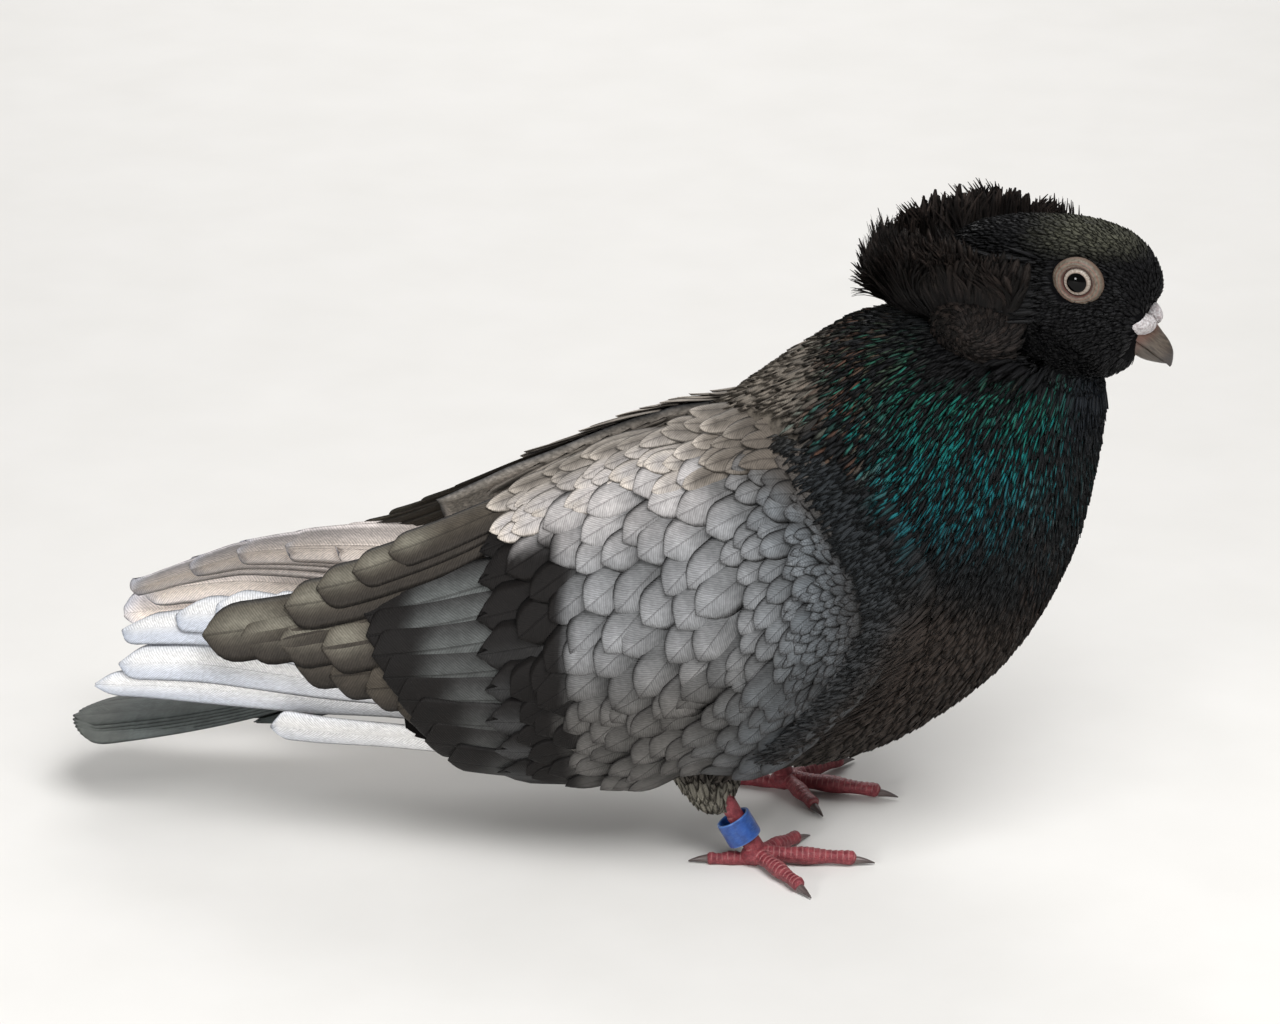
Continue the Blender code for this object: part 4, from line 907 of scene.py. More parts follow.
def laid_feathers(surface, tree, roots, size, lift, random, sign):
    """Feathers that lie on the skin, from roots on a surface towards falling or rising rows."""
    at, turn = roots
    length, width = size
    here = surface(at, turn)
    heading = unit(surface(at + sign * 0.03, turn) - here)
    places, normals, _ = snapped(tree, here)
    if surface is head_point:
        head = from_head(here)
        jaw = smooth(137, 129, head[:, 2]) * smooth(52, 60, head[:, 0])
        heading = unit(heading + np.array([-0.2, 0, -1.0]) * (2.2 * jaw)[:, None])
        heading = unit(heading - normals * dot(heading, normals)[:, None])
    normals = normals * np.sign(dot(normals, places - [0, 0, 84]))[:, None]
    angle = random.normal(0, 0.1, len(at))[:, None]
    heading = unit(heading * np.cos(angle) + np.cross(normals, heading) * np.sin(angle))
    line, ups = [], []
    for step in np.diff(np.concatenate([[0], FINE_STEPS])):
        places, found, _ = snapped(tree, places + heading * (step * length)[:, None])
        normals = found * np.where(dot(found, normals) < 0, -1, 1)[:, None]
        heading = unit(heading - normals * dot(heading, normals)[:, None])
        line.append(places)
        ups.append(normals)
    line, ups = np.stack(line, 1), np.stack(ups, 1)
    rise = lift[0] + (lift[1] - lift[0])[..., None] * FINE_STEPS[None, :] ** 0.8
    line = line + ups * rise[..., None]
    forward = unit(np.gradient(line, axis=1))
    across = unit(np.cross(ups, forward))
    half = fine_halves(width)
    v = np.linspace(-1, 1, 3)
    tilt = random.normal(0, 0.12, len(at))[:, None, None] * v * width[:, None, None]
    grid = vanes(line, across, ups, half, 0.22 * width[:, None, None] * (1 - v**2) + tilt)
    ahead = 0.5 * half[:, -1:, None] * (1 - v**2) * smooth(0.7, 1, FINE_STEPS)[None, :, None]
    return grid + forward[:, :, None] * ahead[..., None], ups, half


def coat_leaves(grid, ups, half, length, colours, place):
    """Small feathers, each in its own colour, with the streak down its middle, partly painted sheen."""
    base, streak, strength = colours
    reach = np.outer(STREAK_ALONG, STREAK_ACROSS) * strength[:, None, None]
    tint = blend(reach, np.broadcast_to(base[:, None, None], grid.shape), streak[:, None, None])
    normals = np.broadcast_to(ups[:, :, None], grid.shape)
    return leaves(grid, normals, half, length, FINE_STEPS, FINE_THICK, tint, STREAK_GLOSS * strength, place)


def body_zone(tree, surface, span, pitch, length, width, lift, number, chosen, sign=-1):
    """Feathers over one part of the trunk, the head or a thigh."""
    random = rng(number)
    at, turn = scatter(surface, *span, *pitch, random)
    here = surface(at, turn)
    _, _, far = snapped(tree, here)
    kept = (far < 2.6) & chosen(here)
    at, turn = at[kept], turn[kept]
    size = (length * random.uniform(0.8, 1.2, len(at)), width * random.uniform(0.8, 1.25, len(at)))
    high = lift[1] + random.normal(0, 0.12, len(at))
    grid, ups, half = laid_feathers(surface, tree, (at, turn), size, (lift[0], high), random, sign)
    tips = grid[:, -1, 1]
    colours = coat_tint(tips, random, head_share(tips))
    return coat_leaves(grid, ups, half, size[0], colours, patches(turn, at))


WING_FRONT_X = 36.6
FRINGE_SPAN = 27.6
FRINGE_AHEAD = 8.0
FRINGE_OVER = 1.3
FRINGE_COUNT = 2600
FRINGE_LENGTH = 8.0
FRINGE_WIDTH = 1.35

# Heights, and how steeply the feathers of the fringe fall there, in degrees
FRINGE_FALL = ((40, 60, 85, 110), (4, 14, 38, 30))


def wing_outline():
    """The front of the folded wing from the side: places, and the way out of the wing at each."""
    count = 61
    x = WING_FRONT_X - FRINGE_SPAN * np.linspace(-1, 1, count) ** 2
    rows = wing_rows(x)
    angle = np.radians(np.where(np.arange(count) < count // 2, rows[:, 4], rows[:, 5]))
    line = np.stack([x, rows[:, 2] + rows[:, 3] * np.cos(angle)], 1)
    along = np.gradient(line, axis=0)
    return line, unit(np.stack([-along[:, 1], along[:, 0]], 1))


def lapped(tree, x, z, side):
    """Points of the body's side that pass over to the wing's outside, and how far ahead of it they lie."""
    line, out = wing_outline()
    spots = np.stack([x, z], -1).reshape(-1, 2)
    reach = spots[:, None] - line[None]
    nearest = np.linalg.norm(reach, axis=2).argmin(1)
    ahead = dot(reach[np.arange(len(spots)), nearest], out[nearest])
    rows = wing_rows(spots[:, 0])
    height = np.clip((spots[:, 1] - rows[:, 2]) / rows[:, 3], -0.98, 0.98)
    over = rows[:, 1] * np.sqrt(1 - height**2) + FRINGE_OVER
    body = []
    for spot, most in zip(spots, over):
        found = tree.ray_cast(Vector((spot[0], side * 80.0, spot[1])), Vector((0, -side, 0)))[0]
        body.append(abs(found[1]) if found else most - 8.0)
    share = smooth(-1.5, FRINGE_AHEAD, ahead)
    y = over + (np.array(body) + 0.3 - over) * share
    return triple(spots[:, 0], side * y, spots[:, 1]).reshape(*x.shape, 3), ahead.reshape(x.shape)


def fringe(tree, side):
    """Body feathers that lap over the front edge of the folded wing."""
    random = rng(90 + side)
    outline = np.concatenate(wing_outline(), 1)
    spot = random.uniform(0, len(outline) - 1, FRINGE_COUNT)
    start = np.stack([np.interp(spot, np.arange(len(outline)), column) for column in outline.T], 1)
    start = start[:, :2] + start[:, 2:] * random.uniform(-3.0, FRINGE_AHEAD + 2, (FRINGE_COUNT, 1))
    fall = np.radians(np.interp(start[:, 1], *FRINGE_FALL)) + random.normal(0, 0.12, FRINGE_COUNT)
    heading = np.stack([-np.cos(fall), -np.sin(fall)], 1)
    length = FRINGE_LENGTH * random.uniform(0.8, 1.2, FRINGE_COUNT)
    spots = start[:, None] + heading[:, None] * (FINE_STEPS[None, :] * length[:, None])[..., None]
    points, ahead = lapped(tree, spots[..., 0], spots[..., 1], side)
    up_x, _ = lapped(tree, spots[..., 0] + 0.6, spots[..., 1], side)
    up_z, _ = lapped(tree, spots[..., 0], spots[..., 1] + 0.6, side)
    ups = unit(np.cross(up_z - points, up_x - points) * -side)
    ups = ups * np.where(ups[..., 1] * side < 0, -1, 1)[..., None]
    rise = -0.5 + 1.1 * FINE_STEPS[None, :] + random.normal(0, 0.15, (FRINGE_COUNT, 1))
    points = points + ups * rise[..., None]
    across = unit(np.cross(ups, unit(np.gradient(points, axis=1))))
    half = fine_halves(FRINGE_WIDTH * random.uniform(0.75, 1.3, FRINGE_COUNT))
    grid = vanes(points, across, ups, half, crowned(half, 0.25))
    base, streak, strength = coat_tint(points[:, -1], random, np.zeros(FRINGE_COUNT))
    base = blend(smooth(1, -7, ahead[:, -1]) * 0.8, base, SHOULDER)
    strength = strength * smooth(-4, 4, ahead[:, -1])
    return coat_leaves(grid, ups, half, length, (base, streak, strength), patches(*start.T))


COAT_ZONES = {
    # Rows of the form's table, pitch along and around, length, width, lift at root and tip, seed
    "neck": ((7.2, 11), (1.45, 0.85), 7.0, 1.0, (-0.7, 0.9), 2),
    "breast": ((4.4, 7.2), (2.3, 1.4), 8.0, 1.8, (-0.8, 0.9), 3),
    "rear": ((0.1, 4.4), (3.1, 2.5), 10.0, 3.2, (-0.9, 0.9), 4),
    "head": ((0.2, 10.9), (1.0, 0.72), 3.0, 0.95, (-0.4, 0.5), 5),
    "cheek": ((0.2, 10.9), (1.3, 1.0), 9.5, 1.3, (-0.4, 3.8), 9),
    "left thigh": ((0.6, 3.9), (2.2, 1.9), 6.0, 2.0, (-0.5, 0.7), 7),
    "right thigh": ((0.6, 3.9), (2.2, 1.9), 6.0, 2.0, (-0.5, 0.7), 5),
}


def build_coat(tree, looks):
    def open_trunk(points):
        return ~under_wing(points)

    def open_face(points):
        return ~bare_face(points)

    def cheek(points):
        x, y, z = from_head(points).T
        near = (x > 59) & (x < 71) & (z > 131) & (z < 160) & (np.abs(y) > 8)
        return near & open_face(points)

    def zone(name, surface, chosen, sign=-1):
        return body_zone(tree, surface, *COAT_ZONES[name], chosen, sign)

    def neck(side):
        def chosen(points):
            return open_trunk(points) & (points[:, 1] * side > 0)

        return zone("neck", trunk_point, chosen)

    def thigh(name, side):
        def surface(at, turn):
            return thigh_point(at, turn, side)

        return zone(f"{name} thigh", surface, open_trunk, 1)

    pieces = {f"coat_neck_{name}": [neck(side), fringe(tree, side)] for name, side in SIDES.items()}
    pieces["coat_head"] = [zone("head", head_point, open_face), zone("cheek", head_point, cheek)]
    pieces["coat_body"] = [zone(name, trunk_point, open_trunk) for name in ("breast", "rear")]
    pieces["coat_body"] += [thigh(name, side) for name, side in SIDES.items()]
    slots = {"coat_neck": "neck_feathers", "coat_head": "head_feathers", "coat_body": "belly_feathers"}
    for name, sets in pieces.items():
        stand_in(leaf_piece(name, sets, looks["coat"]), slots[name[:9]])


# Eyes and the bare rings round them

EYE_AT = (79.3, 155.4)
EYE_RADIUS = 5.0
EYE_DEPTH = 8.8
RING_HEIGHT = 5.9
RING_LENGTH = 6.45
RING_TILT = math.radians(-18)
RING_INNER = 3.7
RING_FRONT = 13.3
RING_THICK = 1.7
RING_LID = 0.15
RING_FOLDS = 3.4


def ring_reach(turn):
    """How far the eye's bare ring reaches in each direction."""
    return RING_HEIGHT + (RING_LENGTH - RING_HEIGHT) * np.abs(np.cos(turn - RING_TILT)) ** 4


def ball_grid(rows, around):
    """Rings of a round ball from its front pole, which lies on +y, and their two angles."""
    tilt = np.linspace(0.01, math.pi - 0.01, rows)[:, None]
    turn = round_turns(around)[None, :]
    return triple(np.sin(tilt) * np.cos(turn), np.cos(tilt), np.sin(tilt) * np.sin(turn)), tilt, turn


def build_eye(side_name, side, looks):
    """The ball, with the clear front of the eye swelling a little over the iris."""
    ball, tilt, turn = ball_grid(48, 48)
    radius = EYE_RADIUS * (1 + 0.035 * smooth(0.95, 0.3, tilt))
    centre = np.array([EYE_AT[0], side * EYE_DEPTH, EYE_AT[1]])
    arrays = loft_arrays(in_head(ball * radius[..., None] * np.array([1, side, 1]) + centre))
    iris = with_ends(triple(EYE_RADIUS * np.sin(tilt), turn, np.cos(tilt)))
    build_part(f"eye_{side_name}_ball", arrays, looks["eye"], "eye", f"eye_{side_name}", iris=iris)


def build_eye_ring(side_name, side, looks):
    """Bare skin round the eye, with an inner lid edge and folds that run round it."""
    around, rows = 120, 26
    turn = round_turns(around)[None, :]
    share = np.linspace(0, 1, rows)[:, None]
    inner = RING_INNER - RING_LID
    radius = inner + (ring_reach(turn) - inner) * share
    dome = RING_FRONT - 0.55 + 0.62 * np.sin(math.pi * np.clip(share * 1.02, 0, 1)) ** 0.6 - 0.85 * share**3
    folds = np.sin(share * 2 * math.pi * RING_FOLDS + 0.7 * np.sin(turn * 3 + side))
    dome = dome + 0.10 * folds * smooth(0.04, 0.2, share)
    random = rng(31)
    for waves in (7, 12, 19, 31):
        phase = random.uniform(0, 6)
        lump = np.sin(waves * turn + phase + 5 * share * random.uniform(-1, 1))
        dome = dome + 0.03 * lump * smooth(0.1, 0.4, share)
    front = triple(EYE_AT[0] + radius * np.cos(turn), side * dome, EYE_AT[1] + radius * np.sin(turn))
    back = front[[-1, 0]] * np.array([1, 0, 1]) + np.array([0, side * (RING_FRONT - RING_THICK - 0.3), 0])
    rings = in_head(np.concatenate([front, back]))
    points = rings.reshape(-1, 3)
    faces = outward(points, grid_faces(len(rings), around, looped=True))
    iris = triple(np.concatenate([share, [[1.0], [0.0]]]), turn).reshape(-1, 3)
    name = f"eye_ring_{side_name}"
    build_part(f"{name}_folds", (points, faces), looks["ring"], "eye_ring_skin", name, iris=iris)


# Bill and cere

BILL_ROOT = (90.3, 139.7)
BILL_DOWN = math.radians(45)
BILL_LENGTH = 12.0
UPPER_BILL = (
    (-0.3, 4.4, 7.6), (0.0, 4.5, 6.0), (0.37, 4.25, 3.8), (0.6, 3.95, 2.9),
    (0.79, 3.1, 2.0), (0.92, 1.8, 1.1), (1.0, 0.6, 0.4),
)
LOWER_BILL = (
    (-0.3, 5.0, 7.4), (0.0, 5.0, 5.8), (0.25, 4.8, 3.9), (0.49, 4.1, 2.8),
    (0.68, 2.7, 2.0), (0.83, 1.3, 1.2), (0.9, 0.6, 0.5),
)
BILL_HOOK = 0.5
MOUTH_HALF_GAP = 0.18
CERE_AT = (91.4, 5.0, 143.4)
CERE_SEMI = (5.4, 3.2, 2.8)
CERE_YAW = math.radians(33)
CERE_TIP = math.radians(-12)


def bill_place(share, over, sideways):
    """Places on the bill in the head's frame: share of its length, height over the mouth."""
    c, s = math.cos(BILL_DOWN), math.sin(BILL_DOWN)
    x = BILL_ROOT[0] + c * share * BILL_LENGTH + s * over
    z = BILL_ROOT[1] - s * share * BILL_LENGTH + c * over
    return np.stack([x, sideways, z], -1)


def build_bill_half(name, table, sign, looks):
    """Half a bill, arched away from the mouth, with a raised cutting edge."""
    rows, around = 40, 32
    at = np.linspace(0, len(table) - 1, rows)
    share, height, half = through(table, at).T[:, :, None]
    height, half = np.maximum(height, 0.3), np.maximum(half, 0.2)
    turn = np.linspace(0, math.pi, around)[None, :]
    drop = BILL_HOOK * np.clip((share - 0.75) / 0.25, 0, None) ** 2 * (sign > 0)
    arch = sign * (MOUTH_HALF_GAP + (height - MOUTH_HALF_GAP) * np.sin(turn) ** 0.8) - drop
    lip = 0.16 * np.exp(-((np.minimum(turn, math.pi - turn) / 0.22) ** 2))
    outer = bill_place(share + 0 * turn, arch, (half + lip) * np.cos(turn))
    flat = np.linspace(-1, 1, 10)[1:-1][None, :]
    level = sign * MOUTH_HALF_GAP - drop + 0 * flat
    inner = bill_place(share + 0 * flat, level, (half + lip[:, :1]) * flat)
    rings = in_head(np.concatenate([outer, inner], 1))
    over = np.concatenate([np.abs(arch), np.zeros((rows, flat.size))], 1)
    along = with_ends(triple(share, over / 5))
    build_part(f"{name}_horn", loft_arrays(rings), looks["horn"], "bill_horn", name, along=along)


def tipped(points, angle):
    """The points with their front turned up by an angle."""
    c, s = math.cos(angle), math.sin(angle)
    x, z = points[..., 0], points[..., 2]
    return np.stack([x * c - z * s, points[..., 1], x * s + z * c], -1)


def build_cere(looks):
    """Two powdery lobes, full behind and drawn in towards the nostril slit under their front edge."""
    lobes = []
    for side in SIDES.values():
        ball, tilt, turn = ball_grid(40, 48)
        grid = np.stack([ball[..., 1], ball[..., 0], ball[..., 2]], -1)
        front = smooth(-0.2, 1.0, grid[..., 0])
        shaped = grid * np.array(CERE_SEMI)
        shaped[..., 2] -= 0.5 * front * (grid[..., 2] < 0) * np.abs(grid[..., 2])
        shaped[..., 1] *= 1 - 0.22 * front
        shaped *= (1 + 0.02 * np.sin(5 * turn + side) * np.sin(tilt) ** 2)[..., None]
        placed = tipped(shaped, CERE_TIP)
        c, s = math.cos(CERE_YAW), side * math.sin(CERE_YAW)
        x, y, z = np.moveaxis(placed, -1, 0)
        yawed = np.stack([x * c + y * s, y * c - x * s, z], -1)
        lobes.append(loft_arrays(in_head(yawed + np.array([CERE_AT[0], side * CERE_AT[1], CERE_AT[2]]))))
    build_part("cere_lobes", merged(lobes), looks["cere"], "cere_skin", "cere")


# Crest: a shell of narrow curled feathers from ear to ear round the back of the head

CREST_REACH = math.radians(112)
CREST_STEPS = np.array([0.0, 0.2, 0.4, 0.58, 0.73, 0.85, 0.94, 1.0])

# Middle x, radius and height of the arc of roots, then middle x, reach behind and half width of the rim
CREST_FOOT = (53.0, 12.0, 143.0)
CREST_SPREAD = (54.5, 28.5, 20.5)
CREST_RIM = 160.5
CREST_RIM_RISE = 10.0
CREST_RIM_DROP = 9.0
CREST_FORWARD = {LEFT: 10.0, RIGHT: 2.5}
CREST_BEND = (-14.0, 3.5, -4.0, -9.5)
CREST_AXIS = np.array([55.0, 0.0, 0.0])
CREST_START = 0.12
CREST_LENGTH = 24.0
CREST_SETS = (
    # Count, width, rows from and to, reach of the tips, curl, locks, seed
    (340, 3.0, (0.0, 1.1), (0.82, 0.93), 1.4, 9, 41),
    (1300, 1.6, (-0.1, 1.1), (0.84, 0.92), 3.4, 10, 42),
    (1500, 1.0, (-0.15, 1.0), (0.79, 0.92), 3.8, 12, 43),
)
CREST_ROOT = rgb(10, 8, 8)
CREST_TIP = rgb(43, 35, 31)
ROSETTE_AT = np.array([54.0, 14.0, 143.0])
ROSETTE_REACH = 12.5
ROSETTE_COUNT = 1500
ROSETTE_RISE = 5.4
ROSETTE_FALL = 6.4
ROSETTE_FEATHER = 3.4


def crest_line(turn, row, t):
    """Crest feathers in the head's frame, t from root to tip. A turn of 0 is straight back."""
    c, s = np.cos(turn), np.sin(turn)
    out = np.abs(turn) / CREST_REACH
    middle, radius, height = CREST_FOOT
    root = np.stack([middle - radius * c, radius * s, height - 3.0 * out + 6.0 * row * (1 - out)], -1)
    middle, behind, wide = CREST_SPREAD
    forward = out**3 * np.where(turn > 0, CREST_FORWARD[LEFT], CREST_FORWARD[RIGHT])
    rim = CREST_RIM + CREST_RIM_RISE * np.sin(np.minimum(1.0, out * 1.12) * math.pi / 2) ** 1.2
    rim = rim - CREST_RIM_DROP * np.maximum(0.0, out - 0.72) / 0.28
    wide = wide - 2.5 * smooth(0.75, 1.0, out)
    tip = np.stack([middle - (behind - 5.0 * row) * c + forward, wide * s, rim + 1.5 * row], -1)
    inward, sideways, down, behind_down = CREST_BEND
    sag = down + behind_down * np.maximum(0.0, c) ** 2
    bend = (root + tip) / 2 + np.stack([inward * c, sideways * s, sag], -1)
    root, tip, bend = root[:, None], tip[:, None], bend[:, None]
    t = np.asarray(t)[..., None]
    return (1 - t) ** 2 * root + 2 * t * (1 - t) * bend + t**2 * tip


def crest_outward(line):
    """Directions away from the head's upright middle line, square to each feather."""
    outward = (line - CREST_AXIS) * np.array([1, 1, 0])
    heading = unit(np.gradient(line, axis=1))
    return unit(outward - heading * dot(outward, heading)[..., None])


def crest_set(count, width, rows, reach, curl, lock, number):
    """Narrow vanes in locks whose tips bend over together, and each a little out of line."""
    random = rng(number)
    turn = np.sort(np.linspace(-1, 1, count) * CREST_REACH * 0.98 + random.normal(0, 0.03, count))
    locks = (turn * lock + random.normal(0, 0.5, count)).astype(int) + 40
    lean, fold, shade_of, longer = random.normal(0, 1, (4, 80))[:, locks]
    row = random.uniform(*rows, count)
    end = (random.uniform(*reach, count) + 0.03 * longer)[:, None]
    t = CREST_START + (end - CREST_START) * CREST_STEPS[None, :]
    line = crest_line(turn, row, t)
    outward = crest_outward(line)
    sideways = unit(np.cross(outward, unit(np.gradient(line, axis=1))))
    late = np.clip((CREST_STEPS - 0.4) / 0.6, 0, None)[None, :, None] ** 1.9
    aside = curl * (1.2 * lean + 0.22 * random.normal(0, 1, count)) - 1.0 * np.sin(turn) * curl
    line = line + sideways * late * aside[:, None, None]
    over = curl * (0.5 * fold + 0.14 * random.normal(0, 1, count) + 0.25 + 0.5 * np.cos(turn))
    line[..., 2] -= (late[..., 0] * over[:, None]).clip(0) ** 2 * 0.12
    wave = 0.3 * np.sin(CREST_STEPS[None, :] * 7 + random.uniform(0, 6, (count, 1)))[..., None]
    line = line + outward * (late * over[:, None, None] + 0.35 + wave * 0.5) + sideways * wave
    wide = width * random.uniform(0.7, 1.3, count)
    half = outline_share(CREST_STEPS, 0.6, 0.55, 0.96)[None, :] * wide[:, None] / 2
    twist = random.normal(0, 0.5, count)[:, None, None] * late
    across = unit(sideways * np.cos(twist) + outward * np.sin(twist))
    shade = np.clip(0.75 + 0.35 * shade_of + 0.3 * random.normal(0, 1, count), 0.25, 1.9)
    colour = (shade, CREST_STEPS**1.8)
    place = patches(turn + random.normal(0, 0.01, count), row + random.uniform(0, 0.2, count))
    length = np.full(count, CREST_LENGTH)
    return crest_leaves(line, across, outward, half, 0.3, colour, length, CREST_STEPS, place, True)


def crest_leaves(line, across, ups, half, crown, colour, length, steps, place, mirrored=False):
    """Crowned feathers in the head's frame. Their colour is a shade of each, and a share of the tip's."""
    grid = vanes(line, across, ups, half, crowned(half, crown))
    points = in_head(grid)
    normals = in_head(grid + ups[:, :, None]) - points
    shade, share = colour[0][:, None, None, None], colour[1][None, :, None, None]
    tint = (CREST_ROOT + (CREST_TIP - CREST_ROOT) * share) * shade * np.ones((1, 1, 3, 1))
    return leaves(points, normals, half, length, steps, 0.12, tint, 0 * length, place, mirrored)


def rosette(side, number):
    """Feathers that turn round a whorl behind the ear and cover the foot of the crest."""
    random = rng(number)
    count = ROSETTE_COUNT
    outer = ROSETTE_REACH * np.sqrt(random.uniform(0.015, 1.0, count))[:, None]
    turn = random.uniform(0, 2 * math.pi, count)[:, None]
    steps = FINE_STEPS[None, :]
    radius = np.maximum(outer - ROSETTE_FEATHER * (1 - steps), 0.2)
    angle = turn - side * (6.5 / (outer + 3.0)) * steps
    u, w = radius * np.cos(angle), radius * np.sin(angle)

    def dome(u, w):
        rise = ROSETTE_RISE - ROSETTE_FALL * (u**2 + w**2) / ROSETTE_REACH**2
        return ROSETTE_AT * [1, side, 1] + np.stack([u - 0.25 * rise, side * (rise - 0.02 * w), w], -1)

    line = dome(u, w)
    ups = unit(np.stack([0.07 * u, side + 0 * u, 0.07 * w], -1))
    line = line + ups * (0.7 * steps - 0.5 + random.normal(0, 0.12, (count, 1)))[..., None]
    half = fine_halves(1.5 * random.uniform(0.7, 1.3, count), 0.5)
    across = unit(np.cross(ups, unit(np.gradient(line, axis=1))))
    shade = np.clip(0.75 + 0.4 * random.normal(0, 1, count), 0.3, 1.7)
    colour = (shade, 0.7 * np.array([0.1, 0.5, 0.9, 1.0]))
    place = patches(u[:, 0], w[:, 0])
    return crest_leaves(line, across, ups, half, 0.25, colour, outer[:, 0] * 0.6, FINE_STEPS, place)


def build_crest(looks):
    back = leaf_piece("crest_feathers", [crest_set(*numbers) for numbers in CREST_SETS], looks["crest"])
    stand_in(back, "head_feathers", "crest_back", "crest_left", "crest_right")
    whorls = [rosette(side, 44 + side) for side in SIDES.values()]
    stand_in(leaf_piece("ear_whorls", whorls, looks["crest"]), "head_feathers")


# Wing feathers


def wing_leaves(
    side, rows, paint, number, count, columns, tip_start, thick=0.2,
    tilt=0.0, bend=0.0, camber=0.05, rounding=0.5, groove=0.0, atlas=False,
):
    """Vanes on the folded wing. Rows: root x, across, tip x, across, width, lift at root and tip."""
    rows = np.asarray(rows, float)
    random = rng(number)
    steps = np.sin(np.linspace(0, 1, count) * math.pi / 2) ** 0.9
    v = np.linspace(-1, 1, columns)
    t = np.broadcast_to(steps, (len(rows), count))
    x0, q0, x1, q1, width, low, high = rows.T[:, :, None]
    x = x0 + (x1 - x0) * t
    q = q0 + (q1 - q0) * t + bend * np.sin(math.pi * t)
    along, over, normal = wing_slopes(x, q, side)
    heading = along * np.gradient(x, axis=1)[..., None] + over * np.gradient(q, axis=1)[..., None]
    across = unit(np.cross(normal, heading))
    half = outline_share(t, 0.75, tip_start, 0.985) * width / 2
    aa, ao, oo = dot(along, along), dot(along, over), dot(over, over)
    ra, ro = dot(across, along), dot(across, over)
    share_x = (ra * oo - ro * ao) / (aa * oo - ao * ao)
    share_q = (ro * aa - ra * ao) / (aa * oo - ao * ao)
    length = np.linalg.norm(np.diff(wing_point(x, q, side), axis=1), axis=2).sum(1)
    back = rounding * (width / 2 / length[:, None])[..., None] * v**2 * smooth(0.55, 1, t)[..., None]
    xs = x[..., None] - (x1 - x0)[..., None] * back + (share_x * half)[..., None] * v
    qs = q[..., None] - (q1 - q0)[..., None] * back + (share_q * half)[..., None] * v
    outward_way = wing_slopes(xs, qs, side)[2]
    level = (low + (high - low) * t**0.7)[..., None] + camber * width[..., None] * (1 - v**2)
    level = level + v * tilt * side / 2 + random.normal(0, 0.05, len(rows))[:, None, None]
    level = level - 0.035 * width[..., None] * np.exp(-((v * 5) ** 2)) * groove
    grid = wing_point(xs, qs, side) + outward_way * level[..., None]
    tint = paint(xs, qs, t[..., None] + 0 * v, v + 0 * xs, random, rows, side)
    if atlas:
        place = cells_for(len(rows))
    else:
        place = patches(rows[:, 0] + random.normal(0, 0.2, len(rows)), rows[:, 1])
    return leaves(grid, outward_way, half, length, steps, thick, tint, 0 * length, place, side == RIGHT)


WING_ARC = 105.0
COVERT_MIDDLE = math.radians(34)


def covert_zone(span_x, span_q, pitch, slant, size, lift, random):
    """Scale-like coverts, staggered along and across the way they point, which varies over the wing."""
    a, b = np.meshgrid(np.arange(-40, 40), np.arange(-40, 40), indexing="ij")
    gone = a.ravel() * pitch[0]
    over = (b + 0.5 * (a % 2)).ravel() * pitch[1]
    c, s = math.cos(COVERT_MIDDLE), math.sin(COVERT_MIDDLE)
    x = over * s - gone * c + random.normal(0, 0.13 * pitch[0], gone.shape)
    q = (gone * s + over * c) / WING_ARC + 0.5 + random.normal(0, 0.13 * pitch[1], gone.shape) / WING_ARC
    kept = (x > span_x[0]) & (x < span_x[1]) & (q > span_q[0]) & (q < span_q[1])
    x, q = x[kept], q[kept]
    way = np.radians(np.interp(q, [0.0, 0.2, 0.5, 0.75, 1.0], slant)) + random.normal(0, 0.09, x.shape)
    length = size[0] * random.uniform(0.88, 1.12, x.shape)
    width = size[1] * random.uniform(0.88, 1.12, x.shape)
    tip_x, tip_q = x - length * np.cos(way), q + length * np.sin(way) / WING_ARC
    high = lift[1] + random.normal(0, 0.14, x.shape)
    return np.stack([x, q, tip_x, tip_q, width, 0 * x + lift[0], high], 1)


SILVER = rgb(139, 140, 142)
SILVER_DARK = rgb(92, 93, 94)
# Pale painted highlight on the top rear of the folded wing
TOP_HIGHLIGHT = rgb(188, 183, 181)
LOWER_PALE = rgb(92, 89, 85)
LOWER_SHADE = np.array([0.48, 0.51, 0.55])
EDGE_DARK = rgb(50, 47, 46)
SHOULDER = rgb(44, 48, 51)
SHOULDER_PALE = rgb(102, 108, 113)
WING_FRONT = rgb(42, 39, 37)
UPPER_BROWN = rgb(84, 78, 72)
BACK_BROWN = rgb(122, 115, 107)
SCAPULAR_FRONT = rgb(76, 69, 62)
SCAPULAR_MIDDLE = rgb(70, 64, 58)
SCAPULAR_EDGE = rgb(206, 196, 184)
BAR = rgb(17, 14, 13)
SECONDARY_GREY = rgb(88, 91, 90)
SECONDARY_LOW = rgb(52, 51, 50)
SECONDARY_EDGE = rgb(40, 38, 38)
TERTIAL = rgb(70, 64, 56)
TERTIAL_PALE = rgb(122, 118, 106)
TERTIAL_EDGE = rgb(42, 38, 35)
# White primaries: the far wing's are painted pinker, painted warm light on the same white feathers; the
# blues are painted shade on them
NEAR_WHITE = rgb(236, 235, 234)
NEAR_BLUE_SHADE = rgb(192, 198, 210)
FAR_PINK = rgb(250, 236, 224)
FAR_BLUE_SHADE = rgb(206, 202, 206)
PRIMARY_TIP = rgb(150, 160, 178)


# Paint for wing feathers, from places on the wing (x and across), shares along and across each feather,
# the random source, the rows and the side


def per_feather(random, rows, amount):
    return 1 + random.normal(0, amount, len(rows))[:, None, None, None]


def plain(colour, xs):
    return np.broadcast_to(colour, xs.shape + (3,))


def rim_of(t, v):
    """Near 1 along the sides and the tip of a feather."""
    return np.maximum(smooth(0.4, 1.0, np.abs(v)) * smooth(0.2, 0.6, t), smooth(0.82, 1.0, t))


